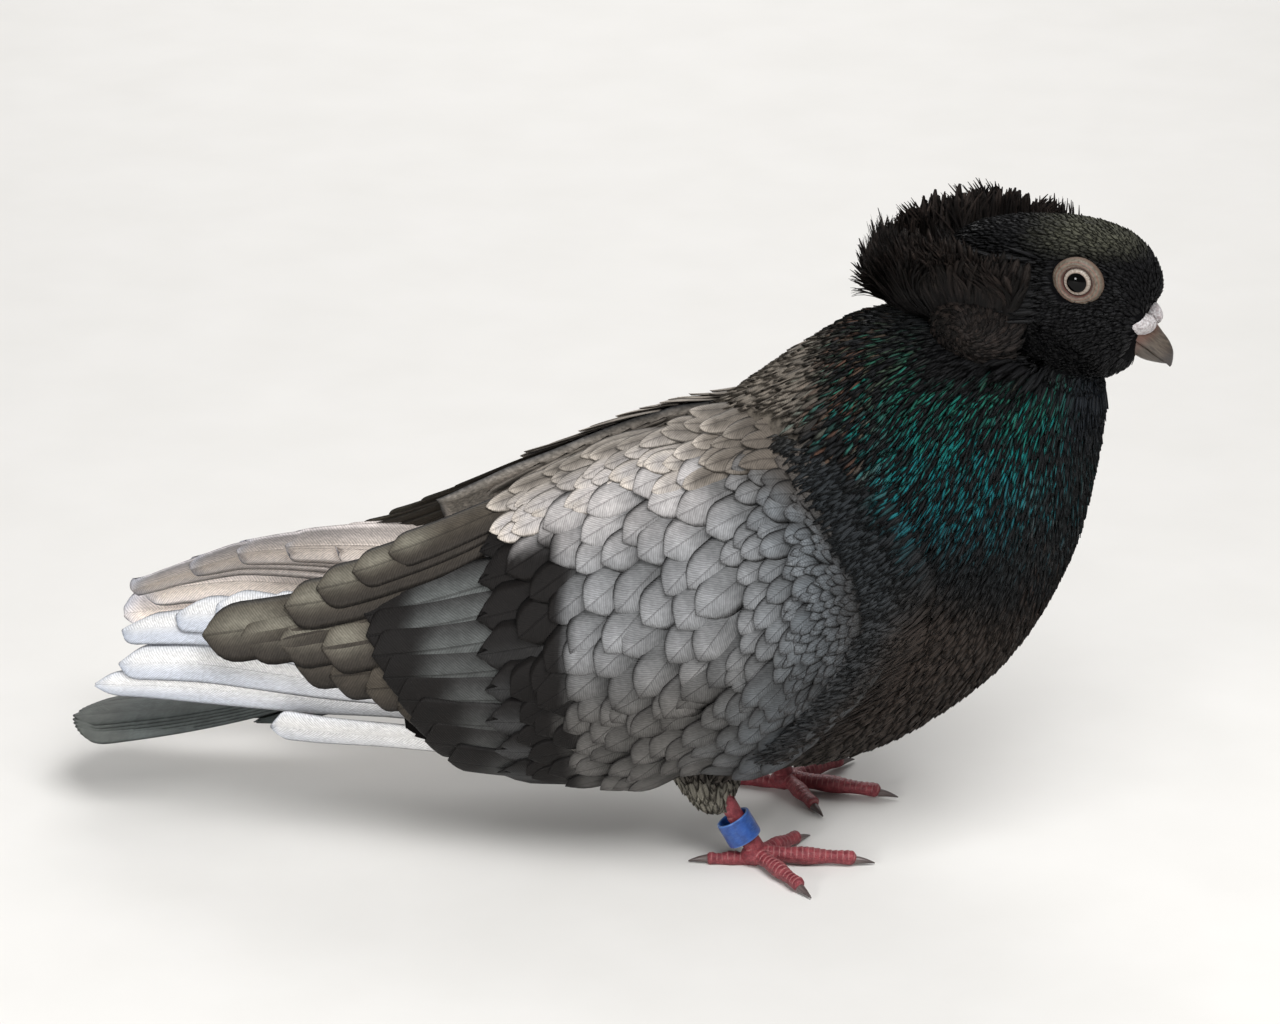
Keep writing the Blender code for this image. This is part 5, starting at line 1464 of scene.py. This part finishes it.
def paint_coverts(xs, qs, t, v, random, rows, side):
    off = np.abs(v)
    # Each covert darker towards its root and sides: painted shade from the feather that overlaps it
    tint = blend(smooth(0.3, 0.85, t) * (1 - 0.4 * off), plain(SILVER_DARK, xs), SILVER)
    # Paler on the top rear of the wing: painted highlight
    top = smooth(0.42, 0.2, qs) * smooth(0.2, 0.8, t) * smooth(5, -20, xs)
    tint = blend(top * 0.8, tint, TOP_HIGHLIGHT)
    low = smooth(0.52, 0.76, qs)
    tint = tint * (1 - low[..., None] * LOWER_SHADE)
    root = rows[:, 0][:, None, None]
    shoulder = smooth(-2, 24, root + 34 * np.maximum(0.42 - qs, 0) + 8 * smooth(0.6, 0.9, qs))
    # Shoulder coverts dark at the root and paler in the middle: partly their own colour, partly painted
    # shade at the root
    middle = smooth(0.25, 0.85, t) * (1 - 0.6 * off)
    tint = blend(shoulder * 0.95, tint, blend(middle, plain(SHOULDER, xs), SHOULDER_PALE))
    front = smooth(12, 29, xs + 22 * smooth(0.4, 0.15, qs)) * 0.88
    lower_front = smooth(-8, 16, xs) * smooth(0.58, 0.8, qs) * 0.6
    tint = blend(np.maximum(front, lower_front), tint, WING_FRONT)
    tint = blend(smooth(0.34, 0.14, qs) * smooth(-20, 4, xs) * smooth(24, 12, xs), tint, UPPER_BROWN)
    tint = blend(rim_of(t, v) * (0.26 + 0.4 * np.maximum(low, shoulder)), tint, EDGE_DARK)
    uneven = random.normal(0, 1.6, (len(rows), 1, 1))
    tint = blend(smooth(-43, -48, xs + uneven) * smooth(0.22, 0.3, qs), tint, BAR)
    return tint * per_feather(random, rows, 0.1)


def paint_scapulars(xs, qs, t, v, random, rows, side):
    tint = blend(smooth(-30, 8, xs) * 0.9, plain(BACK_BROWN, xs), SCAPULAR_FRONT)
    edge = np.maximum(smooth(0.5, 0.9, np.abs(v)), smooth(0.8, 0.97, t)) * smooth(0.3, 0.6, t)
    edge = edge * random.uniform(0.2, 0.9, (len(rows), 1, 1)) * smooth(0, -25, xs)
    tint = blend(smooth(0.35, 0.0, np.abs(v)) * 0.5, tint, SCAPULAR_MIDDLE)
    # Paler on the top rear of the wing: painted highlight
    tint = blend(smooth(0.04, 0.16, qs) * smooth(-12, -32, xs) * 0.8, tint, TOP_HIGHLIGHT)
    return blend(edge, tint, SCAPULAR_EDGE) * per_feather(random, rows, 0.12)


def paint_greater(xs, qs, t, v, random, rows, side):
    tint = blend(smooth(0.5, 0.8, qs), plain(SILVER, xs), LOWER_PALE)
    wave = xs + 2.4 * np.sin(v * 2.2 + 1) + random.normal(0, 1.6, (len(rows), 1, 1))
    band = smooth(-46, -50, wave) * smooth(-76, -71, wave)
    grey = np.exp(-(((v * side + 0.1) / 0.45) ** 2)) * smooth(0.4, 0.8, qs) * 0.4
    return blend(band, tint, blend(grey, plain(BAR, xs), SILVER_DARK)) * per_feather(random, rows, 0.12)


def paint_secondaries(xs, qs, t, v, random, rows, side):
    tint = blend(smooth(0.4, 0.9, qs) * 0.7, plain(SECONDARY_GREY, xs), SECONDARY_LOW)
    tint = blend(smooth(0.0, 0.9, v * side) * 0.9, tint, SECONDARY_EDGE)
    near_tip = xs - rows[:, 2][:, None, None] + random.normal(0, 0.8, (len(rows), 1, 1))
    return blend(smooth(15.0, 7.0, near_tip - 3.0 * v * side), tint, BAR) * per_feather(random, rows, 0.07)


def paint_tertials(xs, qs, t, v, random, rows, side):
    oval = np.exp(-(((t - 0.86) / 0.12) ** 2) - ((v * side - 0.25) / 0.5) ** 2)
    tint = blend(oval * (rows[:, 1] < 0.45)[:, None, None], plain(TERTIAL, xs), TERTIAL_PALE)
    dark = np.maximum(smooth(0.2, -0.9, v * side), smooth(0.75, 1.0, v * side)) * 0.8
    return blend(dark, tint, TERTIAL_EDGE) * per_feather(random, rows, 0.06)


def paint_primaries(xs, qs, t, v, random, rows, side):
    light, shade_colour = (NEAR_WHITE, NEAR_BLUE_SHADE) if side == RIGHT else (FAR_PINK, FAR_BLUE_SHADE)
    # Bluish grey towards the edges and tips: painted shade on white feathers
    shade = smooth(0.0, 1.0, np.abs(v + 0.3)) * smooth(-60, -150, xs) * 0.9
    tint = blend(smooth(0.95, 1.0, t) * 0.5, blend(shade, plain(light, xs), shade_colour), PRIMARY_TIP)
    return tint * per_feather(random, rows, 0.03)


# Coverts in zones: x from and to, across from and to, pitch along and across, slant of the feathers
# from the upper to the lower edge, length and width, lift at root and tip.
SLANT = (5, 22, 42, 30, 14)
LOW_SLANT = (4, 14, 34, 26, 12)
COVERT_ZONES = {
    "upper": ((-46, 6), (0.17, 0.68), (7.4, 8.2), SLANT, (17.0, 11.6), (-1.2, 1.5)),
    "lower": ((-44, 16), (0.63, 0.98), (6.6, 6.6), SLANT, (15.0, 9.6), (-1.1, 1.3)),
    "middle": ((3, 20), (0.10, 0.80), (4.8, 4.8), SLANT, (11.5, 6.8), (-1.0, 1.2)),
    "shoulder": ((15, 36.5), (0.02, 0.98), (2.8, 2.6), LOW_SLANT, (8.5, 3.6), (-0.9, 1.2)),
    "back": ((-53, 16), (0.01, 0.19), (5.5, 4.6), LOW_SLANT, (17.0, 7.0), (-1.2, 1.6)),
}

# Tiers of broad vanes: count, root x, tip x at top and bottom, across from top to bottom, width, lifts.
GREATER_TIER = (8, -30, (-69, -64), (0.22, 0.98), 15.0, (-1.5, 0.5))
SECONDARY_TIER = (8, -52, (-97.5, -77), (0.35, 0.985), 15.0, (-2.0, 0.5))
TIER_SHAKE = (0.6, 0.002, 0.5, 0.003, 0.2, 0.02, 0.05)

# Single vanes: root x and across, tip x and across, width, lift at root and tip.
TERTIALS = (
    (-62, 0.70, -89, 0.78, 14, -3.0, -0.5),
    (-62, 0.62, -97, 0.70, 14, -3.0, -0.3),
    (-62, 0.56, -106, 0.64, 14, -3.0, -0.1),
    (-64, 0.49, -115, 0.58, 14, -3.0, 0.2),
    (-64, 0.42, -108, 0.50, 14, -3.0, 0.7),
    (-64, 0.33, -119, 0.47, 14, -3.0, 1.1),
    (-62, 0.24, -129, 0.45, 14.5, -3.0, 1.6),
    (-60, 0.15, -139, 0.44, 15, -3.0, 2.1),
    (-66, 0.22, -118, 0.28, 13, -2.0, 2.3),
    (-62, 0.16, -110, 0.21, 12, -1.6, 2.4),
    (-58, 0.11, -101, 0.16, 11, -1.2, 2.4),
    (-52, 0.08, -92, 0.12, 10.5, -1.0, 2.3),
)
PRIMARY_TIPS = (
    # Tip x and across, from the innermost primary to the outermost
    (-116, 0.30), (-128, 0.20), (-140, 0.12), (-152, 0.07),
    (-167, 0.04), (-166, 0.50), (-172, 0.86), (-123, 1.08),
)
PRIMARY_ROOT_X = -72.0
PRIMARY_ROOT_ACROSS = (0.50, 0.93)
PRIMARY_WIDTH = 14.0
PRIMARY_TOP = -2.6
PRIMARY_PITCH = {LEFT: 0.3, RIGHT: 0.8}
PRIMARY_ROLL = {LEFT: 5.0, RIGHT: 0.0}
FAR_TERTIAL = np.array([0, 0, 8.0, 0.10, 0, 0, -1.6])


def tier_rows(tier, random):
    """Broad vanes side by side, each a little out of line."""
    count, root_x, tips, spread, width, lift = tier
    share = np.linspace(0, 1, count)
    q = spread[0] + (spread[1] - spread[0]) * share
    tip_x = tips[0] + (tips[1] - tips[0]) * share**1.5
    rows = np.stack(np.broadcast_arrays(root_x, q - 0.02, tip_x, q + 0.01, width, *lift), 1)
    return rows + random.normal(0, 1, rows.shape) * TIER_SHAKE


def wing_base(side_name, side, looks):
    """The wing's own body under its feathers, a closed leaf that follows the folded wing."""
    rows, columns = 60, 40
    x, q = np.meshgrid(np.linspace(35.5, WING_END, rows), np.linspace(0.02, 0.97, columns), indexing="ij")
    normal = wing_slopes(x, q, side)[2]
    level = WING_SUNK - np.maximum(WING_THIN_FROM - x, 0) * 0.07
    top = wing_point(x, q, side) + normal * level[..., None]
    ends = np.sin(math.pi * (np.arange(rows) + 0.6) / (rows + 0.2))[:, None] ** 0.5
    depth = 1.0 + 7.0 * np.sin(math.pi * q) ** 0.8 * ends
    inner = (slice(1, -1), slice(1, -1))
    low = top[inner] - normal[inner] * depth[inner][..., None]
    points = np.concatenate([top.reshape(-1, 3), low.reshape(-1, 3)])
    faces = outward(points, leaf_faces(rows, columns))
    made = mesh_from(f"wing_body_{side_name}", points, faces, looks["skin"])
    middle = np.zeros((1, rows, columns))
    # The wing's body takes the coverts' colours at half brightness: painted shade under the feathers
    tint = paint_coverts(x[None], q[None], middle + 0.5, middle, rng(50), np.zeros((1, 7)), side)[0] * 0.5
    under = blend(smooth(0.5, 0.2, q), tint, SCAPULAR_EDGE * 0.9)
    both = np.concatenate([tint.reshape(-1, 3), under[inner].reshape(-1, 3)])
    store(made.data, "tint", "FLOAT_COLOR", both)
    stand_in(made, "wing_feathers", f"wing_{side_name}")


WALL_ACROSS = np.array([0.05, 0.11, 0.17, 0.23, 0.29])
WALL_PITCH = 5.5


def wall_rows(number):
    """Scapulars on the inner face of the wing, seen over the back."""
    random = rng(number)
    x, q = np.meshgrid(np.arange(12, -60, -WALL_PITCH), WALL_ACROSS)
    x = (x + WALL_PITCH / 2 * (np.arange(len(WALL_ACROSS)) % 2)[:, None]).ravel()
    q = q.ravel() + random.normal(0, 0.006, x.shape)
    x = x + random.normal(0, 0.6, x.shape)
    level = -(2.2 + 7.0 * np.sin(math.pi * q) ** 0.8)
    return np.stack([x, q, x - 16.0, q + 0.03, 7.5 + 0 * x, level + 0.8, level - 1.0], 1)


def covert_sets(side, seed):
    random = rng(seed)
    zones = {name: covert_zone(*zone, random) for name, zone in COVERT_ZONES.items()}
    shoulder = zones["shoulder"]
    shoulder = shoulder[shoulder[:, 0] < 36.5 - 13 * smooth(0.4, 0.15, shoulder[:, 1])]
    zones["back"][:, 6] -= 1.0 * (side == LEFT)
    broad = {"count": 10, "columns": 7, "tip_start": 0.6, "rounding": 0.15}
    small = {"count": 6, "columns": 5, "tip_start": 0.55, "rounding": 0.2, "camber": 0.1}
    return [
        wing_leaves(side, tier_rows(GREATER_TIER, random), paint_greater, seed + 1, 12, 7, 0.84, tilt=1.3),
        wing_leaves(side, zones["lower"], paint_coverts, seed + 3, tilt=0.5, **broad),
        wing_leaves(side, zones["upper"], paint_coverts, seed + 4, tilt=0.8, **broad),
        wing_leaves(side, zones["middle"], paint_coverts, seed + 2, tilt=0.5, **broad),
        wing_leaves(side, shoulder, paint_coverts, seed + 5, **small),
        wing_leaves(side, zones["back"], paint_scapulars, seed + 7, tilt=0.4, **broad),
        wing_leaves(side, wall_rows(seed + 8), paint_scapulars, seed + 8, camber=-0.1, **broad),
    ]


def primary_rows(side):
    """The primaries fan out from a short line of roots, each under the one before it."""
    count = len(PRIMARY_TIPS)
    first, last = PRIMARY_ROOT_ACROSS
    rows = []
    for i, (x, q) in enumerate(PRIMARY_TIPS):
        root_q = first + (last - first) * i / (count - 1)
        level = PRIMARY_TOP - PRIMARY_PITCH[side] * (i if i < count - 1 else 0)
        rows.append((PRIMARY_ROOT_X, root_q, x, q, PRIMARY_WIDTH, level, level))
    return rows


def build_wing(side_name, side, looks):
    seed = 60 + 10 * (side == LEFT)
    wing_base(side_name, side, looks)
    coverts = leaf_piece(f"coverts_{side_name}", covert_sets(side, seed), looks["covert"])
    stand_in(coverts, "wing_feathers", f"wing_{side_name}")
    long_shape = {"count": 20, "columns": 9, "atlas": True, "thick": 0.35, "rounding": 0.2}
    grooved = dict(long_shape, groove=1.0)
    secondary = tier_rows(SECONDARY_TIER, rng(seed + 6))
    tertial = np.array(TERTIALS) + (FAR_TERTIAL if side == LEFT else 0)
    sets = [
        wing_leaves(side, secondary, paint_secondaries, seed + 7, tilt=1.0, tip_start=0.9, **long_shape),
        wing_leaves(side, tertial, paint_tertials, seed + 8, tilt=0.4, tip_start=0.89, **grooved),
    ]
    inner = leaf_piece(f"secondary_quills_{side_name}", sets, looks["flight"])
    stand_in(inner, "wing_feathers", f"secondaries_{side_name}")
    shape = dict(grooved, count=26, bend=0.04, tip_start=0.93, camber=0.03, tilt=PRIMARY_ROLL[side])
    sets = [wing_leaves(side, primary_rows(side), paint_primaries, seed + 9, **shape)]
    outer = leaf_piece(f"primary_quills_{side_name}", sets, looks["primary"])
    stand_in(outer, "flight_feathers", f"primaries_{side_name}")


# Tail

TAIL_ROOT = (-92, 45)
TAIL_TIP = (-180, 20.5)
TAIL_SAG = 3.4
TAIL_PAIRS = 6
TAIL_FAN = math.radians(4.5)
TAIL_PITCH = 0.28
TAIL_WIDTH = 14.0
TAIL_COVERTS = 6
TAIL_COVERT_WIDTH = 8.5
SLATE = rgb(102, 108, 106)
SLATE_EDGE = rgb(66, 71, 70)
TAIL_BAR = rgb(92, 92, 86)


def tail_line(t, level, sideways, fan):
    """The top of the tail from root to tip, lowered by a level and fanned out by an angle."""
    root = np.array([TAIL_ROOT[0], 0, TAIL_ROOT[1]], float)
    tip = np.array([TAIL_TIP[0], 0, TAIL_TIP[1]], float)
    line = root + (tip - root) * t[..., None]
    line[..., 2] += level - TAIL_SAG * np.sin(math.pi * t)
    line[..., 1] += sideways + np.linalg.norm(tip - root) * np.tan(fan) * t
    return line


def tail_leaves(rows, number, count, columns, up=1):
    """Rows: start, reach, height at start and end, sideways, fan, width."""
    rows = np.asarray(rows, float)
    random = rng(number)
    quills = count > 12
    steps = np.sin(np.linspace(0, 1, count) * math.pi / 2)
    start, reach, low, high, sideways, fan, width = rows.T[:, :, None]
    t = start + (reach - start) * steps[None, :]
    line = tail_line(t, low + (high - low) * steps[None, :] ** 0.7, sideways, fan)
    forward = unit(np.gradient(line, axis=1))
    normal = np.stack(np.broadcast_arrays(0.25 * up, sideways * 0.012 * up, 0 * t + 0.97 * up), -1)
    normal = unit(normal - forward * dot(normal, forward)[..., None])
    across = unit(np.cross(normal, forward))
    half = outline_share(steps, 0.7, 0.91 if quills else 0.6, 0.985)[None, :] * width / 2
    v = np.linspace(-1, 1, columns)
    rise = 0.05 * width[..., None] * (1 - v**2) - 0.03 * width[..., None] * np.exp(-((v * 5) ** 2))
    back = 0.12 * width[..., None] * v**2 * smooth(0.8, 1, steps)[None, :, None]
    grid = vanes(line, across, normal, half, rise) - forward[:, :, None] * back[..., None]
    tint = np.broadcast_to(SLATE, grid.shape)
    if quills:
        tint = blend(smooth(0.80, 0.9, steps)[:, None] * 0.5, tint, TAIL_BAR)
    tint = blend(smooth(0.7, 1.0, np.abs(v)) * 0.7, tint, SLATE_EDGE) * per_feather(random, rows, 0.07)
    place = cells_for(len(rows)) if quills else patches(rows[:, 0], rows[:, 4] + 0.01 * rows[:, 5])
    length = 90.0 * (rows[:, 1] - rows[:, 0])
    normals = np.broadcast_to(normal[:, :, None], grid.shape)
    return leaves(grid, normals, half, length, steps, 0.22, tint, 0 * length, place)


def tail_rows():
    rows = []
    for pair in range(TAIL_PAIRS):
        for side in (LEFT, RIGHT):
            level = -TAIL_PITCH * pair - (TAIL_PITCH / 2 if side == LEFT else 0)
            share = (pair + 0.5) / TAIL_PAIRS
            fan = side * TAIL_FAN * share
            reach = 1 - 0.004 * pair**1.5 - 0.01 * (side == LEFT)
            rows.append((0.0, reach, level - 1.5, level - 0.9, side * (0.6 + 3.8 * share), fan, TAIL_WIDTH))
    return rows


def tail_covert_rows(start, end, reach, level):
    """Three tiers of coverts over the root of the tail, or under it at a level of -1."""
    rows = []
    for tier, back in enumerate((0.0, 0.12, 0.24)):
        for i in range(TAIL_COVERTS):
            share = (i / (TAIL_COVERTS - 1) * 2 - 1) * (1 - 0.1 * tier)
            drop = -level * 2.2 * share**2
            far = reach - back - 0.03 * share**2
            heights = (start + drop + tier * level, end + drop + 0.9 * tier * level)
            rows.append((-0.12 - back * 0.5, far, *heights, share * 10, share * 0.04, TAIL_COVERT_WIDTH))
    return rows


def build_tail(looks):
    quills = leaf_piece("tail_quills", [tail_leaves(tail_rows(), 80, 26, 9)], looks["flight"])
    over = tail_leaves(tail_covert_rows(5.5, 0.8, 0.44, 1), 81, 8, 5)
    under = tail_leaves(tail_covert_rows(-11.5, -7.5, 0.46, -1), 82, 8, 5, -1)
    for piece in (quills, leaf_piece("tail_coverts", [over, under], looks["covert"])):
        stand_in(piece, "tail_feathers", "tail")


# Legs

FOOT_SPREAD = 23.0
FOOT_X = {"left": 2.0, "right": 0.0}
SHANK_LEAN = math.radians(30)
SHANK_LENGTH = 24.0
SHANK_RADIUS = 2.2
SHANK_FOOT_Z = 3.6
TOE_Z = 2.3
TOES = (
    # Name, degrees outward from straight ahead, length, thickness at root and tip
    ("middle", -6, 25.0, 2.4, 1.7),
    ("outer", 50, 20.0, 2.2, 1.6),
    ("inner", -56, 16.0, 2.2, 1.6),
    ("hind", 174, 12.5, 1.9, 1.5),
)
CLAW_LENGTH = 4.2
CLAW_RADIUS = 1.1
CLAW_GAP = 0.45
CLAW_HIDDEN = 0.9
FOOT_PAD = (4.0, 3.6, 2.6)
BAND_INNER = 3.7
BAND_OUTER = 4.5
BAND_HEIGHT = 6.6
BAND_UP = 7.0
BAND_FORWARD = -1.05
SCUTE = 1.45
SOLE_SHARE = 0.8


def tube_sides(points):
    """Two directions across a tube, at each of its points."""
    heading = unit(np.gradient(points, axis=0))
    upright = np.abs(heading[:, 2]).mean() >= 0.7
    side = unit(np.cross(heading, [1.0, 0, 0] if upright else [0, 0, 1.0]))
    return side, np.cross(side, heading)


def scaled_tube(points, radii, around=28, floor=None, scute=SCUTE, raised=0.16, front=1.0):
    """A tube with overlapping scutes on its upper or front side, and its 'along' values."""
    side, over = tube_sides(points)
    gone = way_along(points)[:, None]
    turn = round_turns(around)
    saw = (gone / scute) % 1.0
    top = np.clip(np.sin(turn) * front, 0, 1) ** 0.5
    radius = radii[:, None] + raised * (smooth(0, 0.75, saw) - smooth(0.86, 1, saw) - 0.4) * top
    way = side[:, None] * np.cos(turn)[:, None] + over[:, None] * np.sin(turn)[:, None]
    rings = points[:, None] + way * radius[..., None]
    if floor is not None:
        rings[..., 2] = np.maximum(rings[..., 2], floor)
    return loft_arrays(rings), with_ends(triple(gone / scute, np.sin(turn) * front))


def foot_place(side_name):
    return np.array([FOOT_X[side_name], SIDES[side_name] * FOOT_SPREAD, SHANK_FOOT_Z])


def shank_lean():
    """The direction up along a shank."""
    return np.array([-math.sin(SHANK_LEAN), 0.0, math.cos(SHANK_LEAN)])


def toe_line(side_name, direction, length, count):
    angle = math.radians(direction)
    heading = np.array([math.cos(angle), SIDES[side_name] * math.sin(angle), 0])
    t = np.linspace(0, 1, count)[:, None]
    start = foot_place(side_name)
    start[2] = TOE_Z + 0.6
    line = start + heading * length * t
    line[:, 2] -= 0.9 * t[:, 0]
    return line


def toe_parts(side_name, toe, direction, length, thick, thin):
    count = int(length / SCUTE * 6)
    line = toe_line(side_name, direction, length, count)
    share = np.linspace(0, 1, count)
    body = (thick + (thin - thick) * share) * (1 + 0.10 * np.cos(share * 2 * math.pi * 2))
    radii = body * np.sqrt(1 - 0.85 * np.clip((share - 0.93) / 0.07, 0, 1) ** 2)
    lower = 0.5 if toe == "hind" else 1.0
    line[:, 2] = np.maximum(line[:, 2] * lower, body * SOLE_SHARE)
    return scaled_tube(line, radii, floor=0.0)


def build_foot(side_name, looks):
    low = foot_place(side_name)
    t = np.linspace(0, 1, 100)[:, None]
    radii = np.interp(t[:, 0], [0, 0.5, 1], [1.15, 0.95, 1.1]) * SHANK_RADIUS
    parts = [scaled_tube(low + shank_lean() * SHANK_LENGTH * t, radii, front=-1.0, scute=1.9)]
    parts += [toe_parts(side_name, *toe) for toe in TOES]
    pad = ball_grid(24, 32)[0] * FOOT_PAD + low - [0, 0, 0.9]
    pad[..., 2] = np.maximum(pad[..., 2], 0.0)
    pad = loft_arrays(pad)
    parts.append((pad, np.zeros_like(pad[0]) + [0.3, 0.0, 0.0]))
    arrays = merged([part for part, _ in parts])
    along = np.concatenate([kept for _, kept in parts])
    name = f"foot_{side_name}"
    build_part(f"{name}_scaled", arrays, looks["leg"], "leg_scales", name, along=along)


def build_claw(side_name, toe, direction, length, thin, looks):
    line = toe_line(side_name, direction, length, 3)
    heading = unit((line[-1] - line[0]) * np.array([1, 1, 0]))
    start = line[-1] + heading * (CLAW_GAP - CLAW_HIDDEN)
    start[2] = thin * 0.85
    reach = CLAW_LENGTH + CLAW_HIDDEN
    steps = np.linspace(0, 1, 24)[:, None]
    points = start + heading * reach * steps - np.array([0, 0, 0.75]) * steps**2
    radii = CLAW_RADIUS * (1 - 0.86 * steps[:, 0] ** 1.2)
    arrays, along = scaled_tube(points, radii, 20, floor=0.05, scute=reach, raised=0.0)
    name = f"claw_{toe}_{side_name}"
    build_part(f"{name}_horn", arrays, looks["claw"], "claw_horn", name, along=along)


def build_band(looks):
    """The ring on the right leg, with rounded rims."""
    around, corners = 96, 24
    axis = shank_lean()
    centre = foot_place("right") + axis * BAND_UP + np.array([BAND_FORWARD, 0, 0])
    fore = unit(np.array([axis[2], 0, -axis[0]]))
    c, s = np.cos(round_turns(corners)), np.sin(round_turns(corners))
    reach = np.sign(c) * np.abs(c) ** 0.4 * (BAND_OUTER - BAND_INNER) / 2 + (BAND_INNER + BAND_OUTER) / 2
    level = np.sign(s) * np.abs(s) ** 0.25 * BAND_HEIGHT / 2
    turn = round_turns(around)[:, None, None]
    way = np.cos(turn) * fore + np.sin(turn) * np.array([0, 1.0, 0])
    points = (centre + way * reach[:, None] + axis * level[:, None]).reshape(-1, 3)
    arrays = (points, outward(points, grid_faces(around, corners, looped=True)))
    along = triple(np.abs(level) / BAND_HEIGHT * 2, turn[..., 0]).reshape(-1, 3)
    build_part("leg_band_ring", arrays, looks["band"], "leg_band_plastic", "leg_band", along=along)


def build_legs(looks):
    for side_name in SIDES:
        build_foot(side_name, looks)
        for toe, direction, length, _, thin in TOES:
            build_claw(side_name, toe, direction, length, thin, looks)
    build_band(looks)


# Stage, lights and camera

LAMPS = (
    # Name, place in mm, size in m, power in W
    ("key", (300, -500, 1000), 0.7, 13),
    ("fill", (-430, -880, 280), 0.18, 3.4),
    ("back", (-200, 900, 700), 0.8, 5.5),
)
LAMP_TARGET = (-30, 0, 80)
SKY_STRENGTH = 0.25
FLOOR_HALF = 4.0


def added(name, data):
    made = bpy.data.objects.new(name, data)
    bpy.context.scene.collection.objects.link(made)
    return made


def aimed(name, data, place, target):
    """A lamp or camera at a place in mm, turned to a target."""
    made = added(name, data)
    made.location = into_frame(place)
    direction = Vector(into_frame(target)) - made.location
    made.rotation_euler = direction.to_track_quat("-Z", "Y").to_euler()
    return made


def build_floor():
    look = Nodes("studio_floor", 0.9)
    look.colour(look.mix(look.noise(30.0), rgb(222, 220, 216), rgb(230, 228, 225)))
    level = SHIFT[2] * MM
    mesh = bpy.data.meshes.new("floor")
    corners = [(x * FLOOR_HALF, y * FLOOR_HALF, level) for x, y in ((-1, -1), (1, -1), (1, 1), (-1, 1))]
    mesh.from_pydata(corners, [], [(0, 1, 2, 3)])
    mesh.materials.append(look.material)
    added("floor", mesh)


def build_lights():
    for name, place, size, power in LAMPS:
        lamp = bpy.data.lights.new(name, "AREA")
        lamp.size = size
        lamp.energy = power
        aimed(name, lamp, place, LAMP_TARGET)
    world = bpy.data.worlds.new("studio")
    world.use_nodes = True
    background = world.node_tree.nodes["Background"]
    background.inputs["Color"].default_value = (1.0, 1.0, 1.0, 1.0)
    background.inputs["Strength"].default_value = SKY_STRENGTH
    bpy.context.scene.world = world
    bpy.context.scene.view_settings.view_transform = "Standard"


def build_camera():
    turn, rise = CAMERA_TURN, CAMERA_RISE
    ahead = np.array([-math.sin(turn) * math.cos(rise), math.cos(turn) * math.cos(rise), -math.sin(rise)])
    data = bpy.data.cameras.new("camera")
    data.lens = CAMERA_LENS
    data.sensor_width = SENSOR
    data.clip_end = 20.0
    bpy.context.scene.camera = aimed("camera", data, CAMERA_TARGET - ahead * CAMERA_AWAY, CAMERA_TARGET)


VANES = {
    # Barbs apart, rim's width and darkness, shaft's width and darkness, roughness, depth, mottling
    "coat": (0.5, 0.22, 0.3, 0.12, 0.0, 0.62, 0.08, 0.13),
    "crest": (0.5, 0.22, 0.25, 0.12, 0.3, 0.7, 0.08, 0.13),
    "covert": (0.7, 0.6, 0.55, 0.3, 0.28, 0.66, 0.1, 0.13),
    "flight": (0.8, 1.0, 0.6, 0.4, 0.4, 0.6, 0.12, 0.13),
    "primary": (0.8, 0.6, 0.5, 0.4, 0.0, 0.55, 0.1, 0.04),
}


def materials():
    looks = {name: vane_material(f"{name}_feathers", *numbers) for name, numbers in VANES.items()}
    bare = {
        "skin": skin_material, "eye": eye_material, "ring": ring_material, "horn": horn_material,
        "cere": cere_material, "leg": leg_material, "claw": claw_material, "band": band_material,
    }
    return looks | {name: make() for name, make in bare.items()}


def build():
    looks = materials()
    build_camera()
    build_lights()
    build_floor()
    skin = build_skin()
    paint_skin(skin)
    skin.data.materials.append(looks["skin"])
    stand_in(skin, "belly_feathers", "torso", "neck", "head", "thigh_left", "thigh_right")
    build_coat(tree_of(skin), looks)
    build_crest(looks)
    for side_name, side in SIDES.items():
        build_eye(side_name, side, looks)
        build_eye_ring(side_name, side, looks)
        build_wing(side_name, side, looks)
    build_bill_half("bill_upper", UPPER_BILL, 1, looks)
    build_bill_half("bill_lower", LOWER_BILL, -1, looks)
    build_cere(looks)
    build_tail(looks)
    build_legs(looks)


build()
